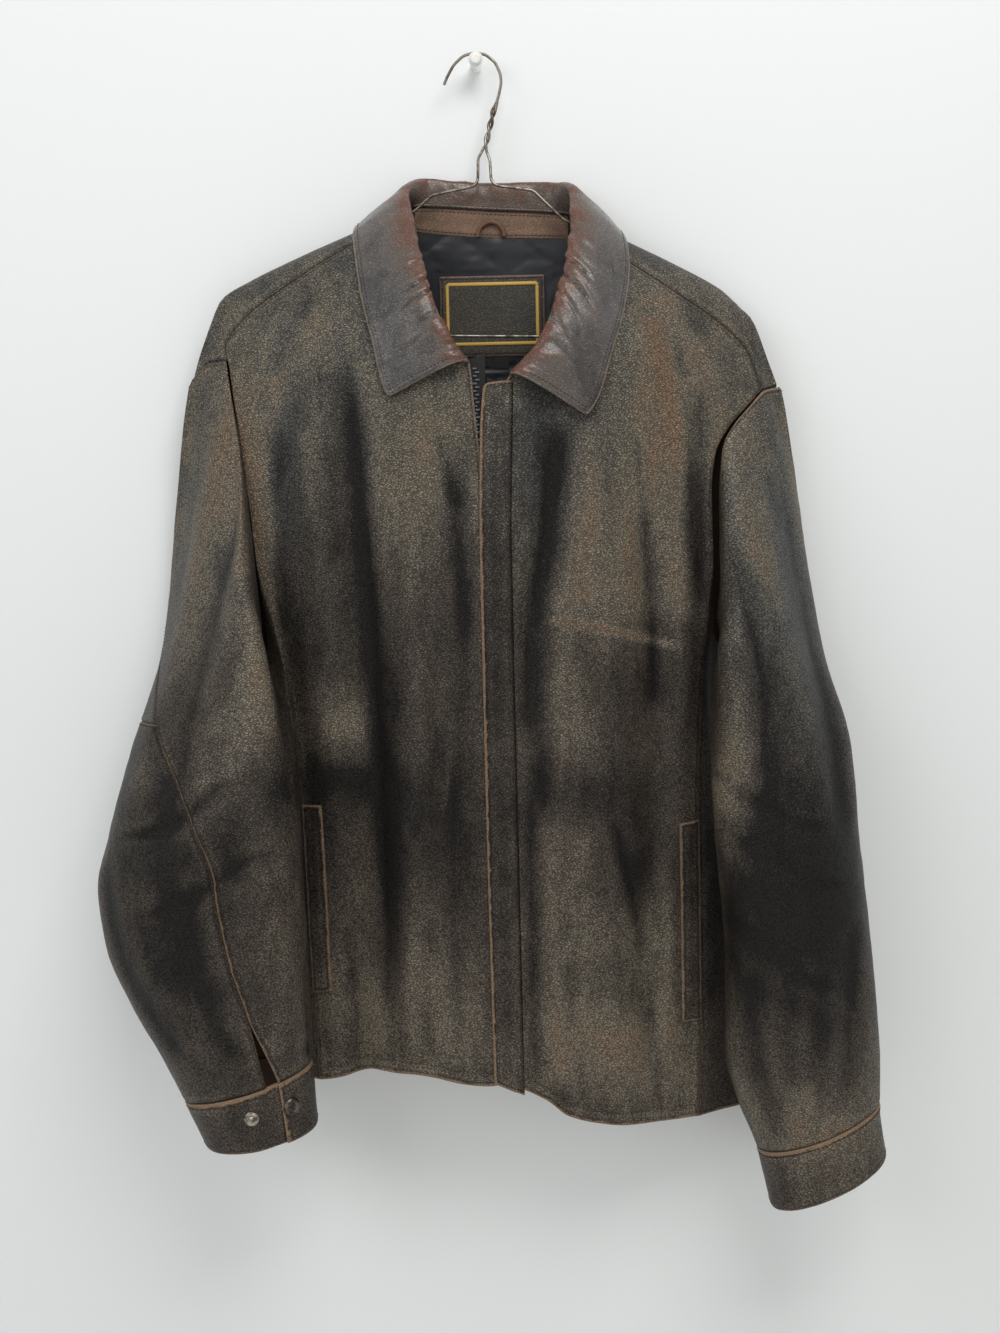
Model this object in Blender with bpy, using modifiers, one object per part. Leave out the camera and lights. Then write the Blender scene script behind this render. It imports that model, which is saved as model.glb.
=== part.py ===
"""A worn leather jacket on a bent-wire hanger that hangs from a small wall knob.

Metres, +Z up. The origin is the centre of the knob's flat back. The wall is the plane y = 0, and the
jacket's front faces -Y. "Right" and "left" are the wearer's: the right side is at -X.
"""

import math

import bpy
import numpy as np

LEATHER = 0.0014
CLOTH = 0.0010
GAP = 0.0003
LAYER = LEATHER + GAP
PROBE = 0.002  # how far to either side a surface is sampled for its normal
RIM_SPLIT = (0.37, 0.21, 1.0)  # the direction that decides which way a rim's faces split

WIRE_RADIUS = 0.0012
WIRE_Y = -0.0175
KNOB_PROFILE = [  # radius, distance from the wall: a peg, a flange and a small head
    (0.0000, 0.0250),
    (0.0036, 0.0250),
    (0.0046, 0.0240),
    (0.0046, 0.0226),
    (0.0054, 0.0222),
    (0.0060, 0.0212),
    (0.0058, 0.0203),
    (0.0046, 0.0200),
    (0.0046, 0.0000),
    (0.0000, 0.0000),
]
KNOB_STEPS = 32

# The shoulder line, from the right armhole over the neck to the left one.
RIDGE = [  # x, y, z
    (-0.2420, -0.043, -0.2590),
    (-0.2331, -0.036, -0.2302),
    (-0.2258, -0.031, -0.2126),
    (-0.2131, -0.026, -0.1869),
    (-0.1919, -0.023, -0.1744),
    (-0.1531, -0.022, -0.1567),
    (-0.1053, -0.021, -0.1370),
    (-0.0740, -0.019, -0.1240),
    (-0.0520, -0.015, -0.1128),
    (0.0090, -0.013, -0.1166),
    (0.0700, -0.015, -0.1212),
    (0.0930, -0.019, -0.1345),
    (0.1214, -0.021, -0.1480),
    (0.1609, -0.022, -0.1677),
    (0.1988, -0.023, -0.1895),
    (0.2132, -0.026, -0.2038),
    (0.2213, -0.031, -0.2128),
    (0.2344, -0.036, -0.2430),
    (0.2451, -0.045, -0.2715),
]
# The seam that joins the fronts to the back, a little forward of the shoulder line.
SHOULDER_SEAM = {  # share from the armhole to the neck, x, z
    "right": [
        (0.00, -0.2092, -0.2397),
        (0.08, -0.2105, -0.2289),
        (0.20, -0.1987, -0.2103),
        (0.50, -0.1503, -0.1761),
        (0.80, -0.1040, -0.1488),
        (1.00, -0.0740, -0.1340),
    ],
    "left": [
        (0.00, 0.2288, -0.2735),
        (0.20, 0.2176, -0.2425),
        (0.32, 0.2040, -0.2262),
        (0.60, 0.1534, -0.1907),
        (0.82, 0.1212, -0.1689),
        (1.00, 0.0930, -0.1500),
    ],
}
# The armhole, once round: over the shoulder tip, down the front, under the arm and up the back.
ARMHOLE = {  # turn, x, z, share of the depth from front (0) to back (1)
    "right": [
        (0.00, -0.2400, -0.2576, 0.50),
        (0.06, -0.2232, -0.2402, 0.00),
        (0.12, -0.2092, -0.2397, 0.00),
        (0.20, -0.2030, -0.2750, 0.00),
        (0.28, -0.1940, -0.3350, 0.00),
        (0.36, -0.1880, -0.4000, 0.00),
        (0.43, -0.1840, -0.4550, 0.18),
        (0.50, -0.1880, -0.4880, 0.50),
        (0.57, -0.1990, -0.4620, 0.76),
        (0.63, -0.2010, -0.4320, 0.89),
        (0.68, -0.2020, -0.4000, 1.00),
        (0.78, -0.2060, -0.3300, 1.00),
        (0.88, -0.2180, -0.2850, 1.00),
        (0.95, -0.2330, -0.2660, 1.00),
        (1.00, -0.2400, -0.2576, 0.50),
    ],
    "left": [
        (0.00, 0.2431, -0.2700, 0.50),
        (0.06, 0.2360, -0.2715, 0.12),
        (0.12, 0.2288, -0.2735, 0.00),
        (0.17, 0.2153, -0.2864, 0.00),
        (0.22, 0.1983, -0.3041, 0.00),
        (0.26, 0.1880, -0.3230, 0.00),
        (0.30, 0.1842, -0.3550, 0.00),
        (0.36, 0.1845, -0.4100, 0.00),
        (0.43, 0.1850, -0.4550, 0.18),
        (0.50, 0.1930, -0.4800, 0.50),
        (0.57, 0.2040, -0.4620, 0.76),
        (0.63, 0.2060, -0.4380, 0.89),
        (0.68, 0.2070, -0.4100, 1.00),
        (0.78, 0.2110, -0.3400, 1.00),
        (0.88, 0.2230, -0.2980, 1.00),
        (0.95, 0.2360, -0.2790, 1.00),
        (1.00, 0.2431, -0.2700, 0.50),
    ],
}
# Where the seams meet the armhole, in turns; panels and sleeves share points every ARM_STEP.
SEAM_END, FRONT_TOP, BACK_TOP = 0.12, 0.36, 0.68
ARM_STEP = 0.04
SIDES = {"right": -1, "left": 1}
LOW_STEPS, ACROSS_STEPS, OVER_STEPS = 8, 9, 3
SEAM_INSET = 0.6 * GAP
SLEEVE_LIFT = LAYER + 2 * GAP  # the sleeve laps over the body's edge at the armhole
SIDE_TURN = 0.8  # how much the armhole's outward direction turns to the side, under the arm
# The seam between front and side panel, from hem to armhole, and the pocket sits in it.
POCKET_SEAM = {  # share of the height, x, z
    "right": [
        (0.00, -0.1506, -0.8365),
        (0.18, -0.1529, -0.7620),
        (0.54, -0.1560, -0.6020),
        (0.77, -0.1680, -0.5000),
        (1.00, -0.1880, -0.4000),
    ],
    "left": [
        (0.00, 0.1675, -0.8766),
        (0.18, 0.1698, -0.7930),
        (0.55, 0.1691, -0.6220),
        (0.80, 0.1745, -0.5000),
        (1.00, 0.1845, -0.4100),
    ],
}
BACK_SEAM = {  # share of the height, x, z
    "right": [(0.00, -0.1950, -0.8360), (0.55, -0.1950, -0.6100), (1.00, -0.2020, -0.4000)],
    "left": [(0.00, 0.2050, -0.8700), (0.55, 0.2030, -0.6300), (1.00, 0.2070, -0.4100)],
}
# A side panel's own shape: how far it bows out, by height, and how soon it runs back round the side.
SIDE_BULGE = [(0.00, 0.058), (0.40, 0.050), (0.65, 0.028), (0.85, 0.004), (1.00, 0.000)]
# The centre edge and neckline of each front, from hem to shoulder seam.
FRONT_EDGE = {  # share of the height, x, z
    "right": [
        (0.00, 0.0035, -0.8330),
        (0.30, 0.0030, -0.6500),
        (0.60, 0.0015, -0.4500),
        (0.72, -0.0015, -0.3500),
        (0.80, -0.0070, -0.2800),
        (0.84, -0.0095, -0.2515),
        (0.89, -0.0360, -0.2270),
        (0.95, -0.0620, -0.1850),
        (1.00, -0.0740, -0.1340),
    ],
    "left": [
        (0.00, 0.0090, -0.8345),
        (0.30, 0.0085, -0.6500),
        (0.60, 0.0080, -0.4500),
        (0.72, 0.0085, -0.3500),
        (0.80, 0.0095, -0.2850),
        (0.84, 0.0205, -0.2620),
        (0.89, 0.0500, -0.2380),
        (0.95, 0.0780, -0.1980),
        (1.00, 0.0930, -0.1500),
    ],
}
# Shares of the centre edge's height at the rows beside the armhole; the corner is row CORNER_ROW.
EDGE_SPLIT, CORNER_ROW = 0.62, 10
EDGE_ABOVE = (0.74, 0.84, 0.88, 0.92, 0.96, 1.00)
NECK_COLUMNS, NECK_SINK = (-0.061, -0.035, 0.009, 0.052, 0.079), 0.003
HEM = [  # x, z
    (-0.1600, -0.8375),
    (-0.1273, -0.8321),
    (-0.1018, -0.8238),
    (-0.0730, -0.8236),
    (-0.0287, -0.8337),
    (0.0171, -0.8390),
    (0.0391, -0.8507),
    (0.0562, -0.8644),
    (0.0766, -0.8695),
    (0.1119, -0.8742),
    (0.1700, -0.8768),
]
# How far the front stands off the wall: at the centre and at the pocket seams.
DEPTH = [  # z, centre y, seam y
    (-0.8800, -0.106, -0.078),
    (-0.6500, -0.108, -0.080),
    (-0.5000, -0.106, -0.080),
    (-0.3500, -0.103, -0.079),
    (-0.2500, -0.099, -0.072),
    (-0.1500, -0.080, -0.062),
]
SIDE_ROUND, SIDE_EARLY, SIDE_FADE = 0.9, 0.75, 4
CENTRE_X, SEAM_REACH, DEPTH_POWER, MOST_REACH = 0.007, 0.163, 2.2, 1.4
SHOULDER_REACH, BACK_REACH = 0.110, 0.035
BACK_Y, NAPE_Y = -0.0045, -0.0080
NAPE_X, NAPE_Z, NAPE_WIDTH, NAPE_HEIGHT = 0.008, -0.115, 0.150, 0.090
NECK_HALF = 0.075
# The largest soft folds of the fronts: troughs are positive, ridges negative.
FOLD_FADE, FOLD_END = 4, 1.15  # how quickly a fold rises at its ends, and where it ends
FOLDS = [  # top x, top z, bottom x, bottom z, half width, depth
    (-0.120, -0.300, -0.112, -0.880, 0.020, 0.0060),
    (-0.062, -0.420, -0.078, -0.880, 0.022, -0.0050),
    (-0.030, -0.330, -0.040, -0.700, 0.016, 0.0040),
    (0.060, -0.300, 0.045, -0.880, 0.020, 0.0060),
    (0.098, -0.330, 0.100, -0.880, 0.024, -0.0060),
    (0.140, -0.300, 0.125, -0.760, 0.016, 0.0045),
]

# A sleeve below the armhole, a row for each section down to the cuff seam.
SLEEVE = {  # share, outer x, outer z, inner x, inner z, middle y, half depth, outer edge behind middle
    "right": [
        (0.00, -0.2800, -0.4950, -0.1590, -0.5220, -0.074, 0.050, 0.042),
        (0.20, -0.2935, -0.5600, -0.1517, -0.5740, -0.106, 0.049, 0.020),
        (0.38, -0.3079, -0.6190, -0.1508, -0.6330, -0.120, 0.049, 0.018),
        (0.50, -0.3155, -0.6560, -0.1507, -0.6680, -0.122, 0.050, 0.010),
        (0.64, -0.3106, -0.7005, -0.1507, -0.7070, -0.123, 0.050, 0.004),
        (0.78, -0.2923, -0.7504, -0.1503, -0.7450, -0.121, 0.047, 0.000),
        (0.90, -0.2726, -0.7925, -0.1494, -0.7800, -0.119, 0.043, 0.000),
        (1.00, -0.2551, -0.8332, -0.1504, -0.8054, -0.117, 0.039, 0.000),
        (1.15, -0.2382, -0.8733, -0.1483, -0.8585, -0.117, 0.036, 0.000),
    ],
    "left": [
        (0.00, 0.2800, -0.5000, 0.1785, -0.5140, -0.078, 0.050, 0.036),
        (0.18, 0.2885, -0.5600, 0.1771, -0.5800, -0.097, 0.049, 0.010),
        (0.40, 0.2965, -0.6350, 0.1812, -0.6550, -0.105, 0.048, 0.010),
        (0.62, 0.3030, -0.7100, 0.1862, -0.7350, -0.106, 0.047, 0.004),
        (0.80, 0.3080, -0.7750, 0.1848, -0.8080, -0.106, 0.045, 0.000),
        (0.92, 0.3110, -0.8200, 0.1960, -0.8520, -0.104, 0.041, 0.000),
        (1.00, 0.3115, -0.8532, 0.2115, -0.8930, -0.102, 0.037, 0.000),
        (1.15, 0.3184, -0.9025, 0.2238, -0.9454, -0.100, 0.034, 0.000),
    ],
}
CUFF_SHARE = 0.15
CAP_SHARE = 0.34  # share of the sleeve's length between armhole and first full section
ARRIVE_AT, ARRIVE = 0.12, 3.0  # the sections below set how steeply the cap arrives at the first one
SLEEVE_CLEAR, SLEEVE_SOFT = -0.0009, 0.0005  # where the sleeve flattens against the wall, and how gently
# How the sleeve leaves the armhole: its pull outward, forward and down, by turns round the armhole.
LEAVE = {
    "right": [
        (0.00, 0.050, 0.000, 0.160),
        (0.12, 0.030, 0.050, 0.160),
        (0.22, -0.035, 0.082, 0.146),
        (0.30, -0.010, 0.123, 0.090),
        (0.38, -0.015, 0.120, 0.091),
        (0.45, 0.048, 0.140, 0.088),
        (0.52, 0.084, 0.086, 0.077),
        (0.60, 0.075, 0.036, 0.095),
        (0.68, 0.085, 0.010, 0.100),
        (0.78, 0.055, 0.000, 0.140),
        (1.00, 0.050, 0.000, 0.160),
    ],
    "left": [
        (0.00, 0.040, 0.000, 0.160),
        (0.12, 0.030, 0.050, 0.160),
        (0.22, 0.000, 0.076, 0.145),
        (0.30, 0.000, 0.090, 0.120),
        (0.38, 0.000, 0.100, 0.100),
        (0.45, 0.030, 0.100, 0.080),
        (0.52, 0.065, 0.060, 0.080),
        (0.60, 0.075, 0.030, 0.095),
        (0.68, 0.085, 0.010, 0.100),
        (0.78, 0.055, 0.000, 0.140),
        (1.00, 0.040, 0.000, 0.160),
    ],
}
# How far round the sleeve a point of the armhole ends up, in turns: the underarm turns inwards.
TWIST = [(0.00, 0.00), (0.30, 0.00), (0.45, 0.09), (0.60, 0.09), (0.84, 0.00), (1.00, 0.00)]
# Where the seams between the top sleeve and the back sleeve run, in turns from the outer edge.
BACK_SLEEVE_SEAM = {  # share of the sleeve's length, turn
    "right": [(0.00, -0.08), (0.20, -0.05), (0.40, 0.13), (0.50, 0.215), (0.62, 0.285), (1.00, 0.323)],
    "left": [(0.00, -0.08), (0.40, -0.12), (0.70, -0.16), (1.00, -0.18)],
}
UNDER_SLEEVE_SEAM = {
    "right": [(0.00, 0.48), (0.50, 0.51), (1.00, 0.51)],
    "left": [(0.00, 0.48), (0.50, 0.50), (1.00, 0.50)],
}
ELBOW = {"right": (0.405, 0.445), "left": (0.455, 0.485)}  # share at the back seam, at the under seam
TOP_STEPS, BACK_STEPS, UPPER_STEPS, LOWER_STEPS = 14, 11, 5, 6
SLIT_START, SLIT_OPEN = 0.88, 0.022  # share where the right sleeve opens, its width in turns
CUFF_OVERLAP = (0.014, 0.028)  # turns by which the open cuff's under end runs on beneath its flap
CUFF_EASE = 0.05  # turns over which that end sinks
CUFF_SINK = 0.0024
CUFF_STEPS = 2
CUFF_JOIN = 0.002  # turns between the closed cuff's two ends

# The collar from the right centre front round the neck to the left centre front.
COLLAR_KNOTS = (0.0, 0.075, 0.15, 0.225, 0.3, 0.385, 0.44, 0.5, 0.56, 0.615, 0.7, 0.775, 0.85, 0.925, 1.0)
COLLAR_STEPS = (2, 2, 2, 2, 3, 2, 2, 2, 2, 3, 2, 2, 2, 2)
COLLAR_ROLL = [  # share, x, y, z
    (0.00, -0.0104, -0.1060, -0.2490),
    (0.10, -0.0240, -0.1040, -0.2250),
    (0.20, -0.0350, -0.0930, -0.1930),
    (0.32, -0.0461, -0.0640, -0.1432),
    (0.40, -0.0560, -0.0340, -0.1000),
    (0.44, -0.0430, -0.0110, -0.0885),
    (0.50, 0.0040, -0.0078, -0.0915),
    (0.56, 0.0600, -0.0110, -0.0930),
    (0.60, 0.0725, -0.0340, -0.1020),
    (0.68, 0.0685, -0.0640, -0.1400),
    (0.80, 0.0590, -0.0880, -0.1900),
    (0.90, 0.0410, -0.1020, -0.2360),
    (1.00, 0.0211, -0.1090, -0.2590),
]
COLLAR_EDGE = [  # share, x, z, share of the depth
    (0.00, -0.0745, -0.2765, 0.0),
    (0.05, -0.0800, -0.2620, 0.0),
    (0.15, -0.0862, -0.2320, 0.0),
    (0.25, -0.0945, -0.1980, 0.0),
    (0.33, -0.1005, -0.1590, 0.0),
    (0.36, -0.1030, -0.1400, 0.0),
    (0.38, -0.1035, -0.1310, 0.5),
    (0.40, -0.1000, -0.1380, 1.0),
    (0.43, -0.0880, -0.1460, 1.0),
    (0.50, 0.0080, -0.1570, 1.0),
    (0.57, 0.1030, -0.1570, 1.0),
    (0.60, 0.1170, -0.1500, 1.0),
    (0.62, 0.1205, -0.1420, 0.5),
    (0.64, 0.1203, -0.1520, 0.0),
    (0.67, 0.1200, -0.1710, 0.0),
    (0.75, 0.1135, -0.2100, 0.0),
    (0.85, 0.1025, -0.2450, 0.0),
    (0.95, 0.0925, -0.2760, 0.0),
    (1.00, 0.0820, -0.2945, 0.0),
]
NECK_AXIS = (0.008, -0.050)
ROLL_OUT = (1.2, 2.0, 0.03)  # weights that turn the way out from the neck's axis: x, y and a rise
FRONT_SHARES = (0.35, 0.65)  # between these shares the collar is behind the neck
STAND_HOLLOW = 0.0020
BULGE_EARLY = 0.6  # the leaf bulges most just past the roll line
LEAF_BULGE, LEAF_LIFT, WALL_CLEAR = 0.0065, 0.0050, -0.0012
STAND_STEPS, LEAF_STEPS = 3, 5
NECK_SHIFT = 0.0007
STAND_DEPTH = 0.0024  # the stand's forward face, in front of the back's outer face
UNDER_ROW = 2  # the row of the leaf at which the under collar starts
UNDER_INSET = 0.0009

# Inside the back neck: how far each forward face stands in front of the back's outer face.
FACING_DEPTH, LINING_DEPTH, LABEL_DEPTH, TAB_DEPTH, LOOP_DEPTH, CORD_DEPTH = (
    0.0031,
    0.0027,
    0.0040,
    0.0036,
    0.0049,
    0.0042,
)
FACING_ROWS = [  # x, z of the lower edge
    (-0.0535, -0.1338),
    (-0.0331, -0.1367),
    (0.0084, -0.1401),
    (0.0417, -0.1412),
    (0.0555, -0.1418),
]
FACING_DROP, CORD_DROP = 0.0019, 0.0003
LINING = {"left": -0.0600, "right": 0.0770, "bottom": -0.3400}
LABEL = {"top": -0.1713, "bottom": -0.2372, "left": -0.0346, "right": 0.0528}
SIZE_TAB = {"top": -0.2376, "bottom": -0.2460, "left": -0.0030, "right": 0.0068}
CARE_TAB = {"top": -0.2376, "bottom": -0.2480, "left": 0.0095, "right": 0.0218}
TAB_CLOTH = 0.0006
LINING_ROWS, FACING_COLUMNS = 7, 8
LOOP_X, LOOP_Z, LOOP_HALF, LOOP_RISE, LOOP_TUBE = 0.0092, -0.1400, 0.0110, 0.0121, 0.0015
NECK_CORD = 0.0011

# The covered zip, by the rows of the fronts; x at each height.
PLACKET_ROWS = (-0.07, 1, 2, 3, 4, 5, 6, 7, 8, 9, 9.7, 9.9, 9.98)
PLACKET_LEFT = [  # z, x
    (-0.8400, -0.0036),
    (-0.6000, -0.0050),
    (-0.4000, -0.0055),
    (-0.2900, -0.0050),
    (-0.2640, -0.0046),
    (-0.2620, 0.0000),
]
PLACKET_RIGHT = [(-0.8400, 0.0210), (-0.4000, 0.0200), (-0.2620, 0.0240)]
PLACKET_STAND = 0.0008
ZIP_ROWS = {"right": (0.1, 2, 4, 6, 8, 9, 10, 10.15), "left": (0.1, 2, 4, 6, 8, 9, 9.9)}
ZIP = {"right": (-0.0150, 0.0022), "left": (0.0034, 0.0200)}
WELT_ROWS = {"right": (1.47, 2, 3, 4, 4.32), "left": (1.47, 2, 3, 4, 4.40)}
WELT_WIDTH = 0.0168

STUD_PROFILE = [  # radius, height
    (0.0000, 0.0030),
    (0.0018, 0.0029),
    (0.0024, 0.0022),
    (0.0017, 0.0012),
    (0.0050, 0.0012),
    (0.0056, 0.0008),
    (0.0056, 0.0000),
    (0.0000, 0.0000),
]
CAP_PROFILE = [(0.0, 0.0024), (0.0045, 0.0021), (0.0068, 0.0012), (0.0072, 0.0004), (0.0072, 0.0), (0.0, 0.0)]
STUD_X, STUD_Z, STUD_TURNS = -0.1950, -0.8370, (1.20, 1.31)
CAP_X, CAP_Z, CAP_TURNS = -0.1640, -0.8330, (0.335, 0.45)
STUD_LIFT, CAP_LIFT = -0.0003, 0.0004  # from the cuff's smooth face, whose facets lie a little lower

# The hanger's wire: centres of its bends, right leg and arm first.
HOOK = [  # x, z
    (-0.0264, -0.0186),
    (-0.0235, -0.0120),
    (-0.0180, -0.0030),
    (-0.0100, 0.0040),
    (-0.0005, 0.0062),
    (0.0085, 0.0043),
    (0.0160, -0.0020),
    (0.0200, -0.0110),
    (0.0205, -0.0180),
    (0.0185, -0.0270),
    (0.0160, -0.0345),
]
TWIST_TOP, TWIST_BOTTOM = (0.0137, -0.0400), (0.0052, -0.0720)
TWIST_TURNS, TWIST_RADIUS, TWIST_STEPS = 1.5, 0.00142, 24
CUT_END = (0.0024, 0.0, 0.0115)  # from the top of the twist to the wire's cut end
NECK_RIGHT = [(0.0000, -0.0780), (-0.0004, -0.0960), (-0.0035, -0.1005), (-0.0390, -0.1074)]
NECK_LEFT = [(0.0098, -0.0790), (0.0103, -0.0960), (0.0140, -0.1005), (0.0446, -0.1052)]
ARM_START = {
    "right": [(-0.0520, -0.1185), (-0.0700, -0.1285)],
    "left": [(0.0687, -0.1285), (0.0870, -0.1370)],
}
ARM_DROP = 0.0048  # from the shoulder line to the wire that carries it
CORNER_RIGHT = [(-0.2040, -0.1930), (-0.2060, -0.2050), (-0.1980, -0.2155), (-0.1860, -0.2168)]
CORNER_LEFT = [(0.2030, -0.2055), (0.2050, -0.2170), (0.1970, -0.2262), (0.1860, -0.2270)]
HANGER_Y = -0.0225
LEAN_TOP, LEAN_HEIGHT = -0.074, 0.030  # where the wire steps forward below the twist
ARM_INSET = 3  # columns of the back left out at each end of an arm


def clear_scene():
    for existing in list(bpy.data.objects):
        bpy.data.objects.remove(existing)


def collection_of(name):
    found = bpy.data.collections.new(name)
    bpy.context.scene.collection.children.link(found)
    return found


def material(name, colour, roughness, metallic=0.0):
    made = bpy.data.materials.new(name)
    made.use_nodes = True
    shader = made.node_tree.nodes["Principled BSDF"]
    shader.inputs["Base Color"].default_value = (*colour, 1.0)
    shader.inputs["Roughness"].default_value = roughness
    shader.inputs["Metallic"].default_value = metallic
    return made


# ---- numbers from tables -------------------------------------------------------------------------


def smooth(table, at):
    """Smooth curve through a table's rows, its first column the position, with no overshoot."""
    rows = np.array(table, float)
    knots, values = rows[:, 0], rows[:, 1:]
    place = np.clip(np.asarray(at, float), knots[0], knots[-1])
    steps = np.diff(knots)[:, None]
    slopes = np.diff(values, axis=0) / steps
    product = slopes[:-1] * slopes[1:]
    total = slopes[:-1] + slopes[1:]
    inner = np.where(product > 0, 2 * product / np.where(total == 0, 1, total), 0)
    tangents = np.vstack([slopes[:1], inner, slopes[-1:]])
    row = np.clip(np.searchsorted(knots, place, side="right") - 1, 0, len(knots) - 2)
    step = steps[row, 0][..., None]
    t = (place - knots[row])[..., None] / step
    start = values[row] * (1 + 2 * t) * (1 - t) ** 2 + tangents[row] * step * t * (1 - t) ** 2
    end = values[row + 1] * t * t * (3 - 2 * t) + tangents[row + 1] * step * t * t * (t - 1)
    return start + end


def column(table, at, number=0):
    return smooth(table, at)[..., number]


def folds(x, z):
    """The fronts' soft folds: each fades at its ends and across its width."""
    push = np.zeros_like(x)
    for top_x, top_z, bottom_x, bottom_z, half_width, depth in FOLDS:
        along = (top_z - z) / (top_z - bottom_z)
        middle = top_x + (bottom_x - top_x) * along
        across = np.exp(-(((x - middle) / half_width) ** 2))
        fade = np.clip(along * FOLD_FADE, 0, 1) * np.clip((FOLD_END - along) * FOLD_FADE, 0, 1)
        push += depth * across * fade * fade * (3 - 2 * fade)
    return push


def ridge(x):
    """Height and depth of the shoulder line above each x."""
    place = smooth(RIDGE, x)
    return place[..., 1], place[..., 0]


def front_y(x, z):
    """The fronts' outer face: it rounds over the shoulder line and bows between the pocket seams."""
    ridge_z, ridge_y = ridge(x)
    across = np.clip(np.abs(x - CENTRE_X) / SEAM_REACH, 0, MOST_REACH) ** DEPTH_POWER
    depth = smooth(DEPTH, z)
    hang = depth[..., 0] + (depth[..., 1] - depth[..., 0]) * across
    drop = np.clip((ridge_z - z) / SHOULDER_REACH, 0, 1)
    rounding = np.sqrt(1 - (1 - drop) ** 2)
    return ridge_y + (hang - ridge_y) * rounding + folds(x, z)


def back_y(x, z):
    """The back's outer face: close to the wall, further off under the collar."""
    ridge_z, ridge_y = ridge(x)
    nape = np.exp(-(((x - NAPE_X) / NAPE_WIDTH) ** 4) - ((z - NAPE_Z) / NAPE_HEIGHT) ** 4)
    flat = BACK_Y + (NAPE_Y - BACK_Y) * nape
    drop = np.clip((ridge_z - z) / BACK_REACH, 0, 1)
    rounding = np.sqrt(1 - (1 - drop) ** 2)
    in_neck = np.exp(-(((x - NAPE_X) / NECK_HALF) ** 8))
    top = ridge_y + (flat - ridge_y) * in_neck
    return top + (flat - top) * rounding


def between(x, z, share):
    """A point x, z at a share of the depth between front and back faces."""
    y = front_y(x, z) * (1 - share) + back_y(x, z) * share
    return np.stack([x, y, z], axis=-1)


def armhole_place(side, turn):
    rows = np.array(ARMHOLE[side])
    before, after = rows[:-1].copy(), rows[1:].copy()
    before[:, 0] -= 1
    after[:, 0] += 1
    return smooth(np.vstack([before, rows, after]), turn)


def armhole(side, turn):
    place = armhole_place(side, turn)
    return between(place[..., 0], place[..., 1], place[..., 2])


def blend(first, second, share):
    return first + (second - first) * share


def coons(left, right, bottom, top, across=None):
    """A patch between four edges; left and right run upwards, bottom and top from left to right."""
    up = np.linspace(0, 1, len(left))[:, None, None]
    across = np.linspace(0, 1, len(bottom)) if across is None else across
    across = across[None, :, None]
    sides = blend(left[:, None], right[:, None], across)
    ends = blend(bottom[None], top[None], up)
    low = blend(bottom[0], bottom[-1], across)
    high = blend(top[0], top[-1], across)
    return sides + ends - blend(low, high, up)


# ---- grids of points to walls --------------------------------------------------------------------


def unit(vectors):
    return vectors / np.maximum(np.linalg.norm(vectors, axis=-1, keepdims=True), 1e-12)


def facing(grid, outward):
    """Unit normals of a grid of points, on the side that outward points to."""
    normal = unit(np.cross(np.gradient(grid, axis=0), np.gradient(grid, axis=1)))
    return normal * np.sign((normal * outward).sum())


def front_normal(x, z):
    across = (front_y(x + PROBE, z) - front_y(x - PROBE, z)) / (2 * PROBE)
    upward = (front_y(x, z + PROBE) - front_y(x, z - PROBE)) / (2 * PROBE)
    return unit(np.stack([across, -np.ones_like(x), upward], axis=-1))


def back_normal(x, z):
    across = (back_y(x + PROBE, z) - back_y(x - PROBE, z)) / (2 * PROBE)
    upward = (back_y(x, z + PROBE) - back_y(x, z - PROBE)) / (2 * PROBE)
    return unit(np.stack([-across, np.ones_like(x), -upward], axis=-1))


def armhole_normal(side, turn):
    """The body's outward direction along the armhole; both the body and the sleeve use it."""
    place = armhole_place(side, turn)
    x, z, share = place[..., 0], place[..., 1], place[..., 2:]
    outward = np.array([SIDES[side] * SIDE_TURN, 0.0, 0.0])
    mixed = blend(front_normal(x, z), back_normal(x, z), share) + outward * 4 * share * (1 - share)
    return unit(mixed)


def inset(grid, distance, edges="lrbt"):
    """The sheet with its named edges drawn in along the surface: l, r, b (first row) and t."""
    grid = grid.copy()
    for edge, line, beside in (
        ("b", np.s_[0], np.s_[1]),
        ("t", np.s_[-1], np.s_[-2]),
        ("l", np.s_[:, 0], np.s_[:, 1]),
        ("r", np.s_[:, -1], np.s_[:, -2]),
    ):
        if edge in edges:
            grid[line] += distance * unit(grid[beside] - grid[line])
    return grid


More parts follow.
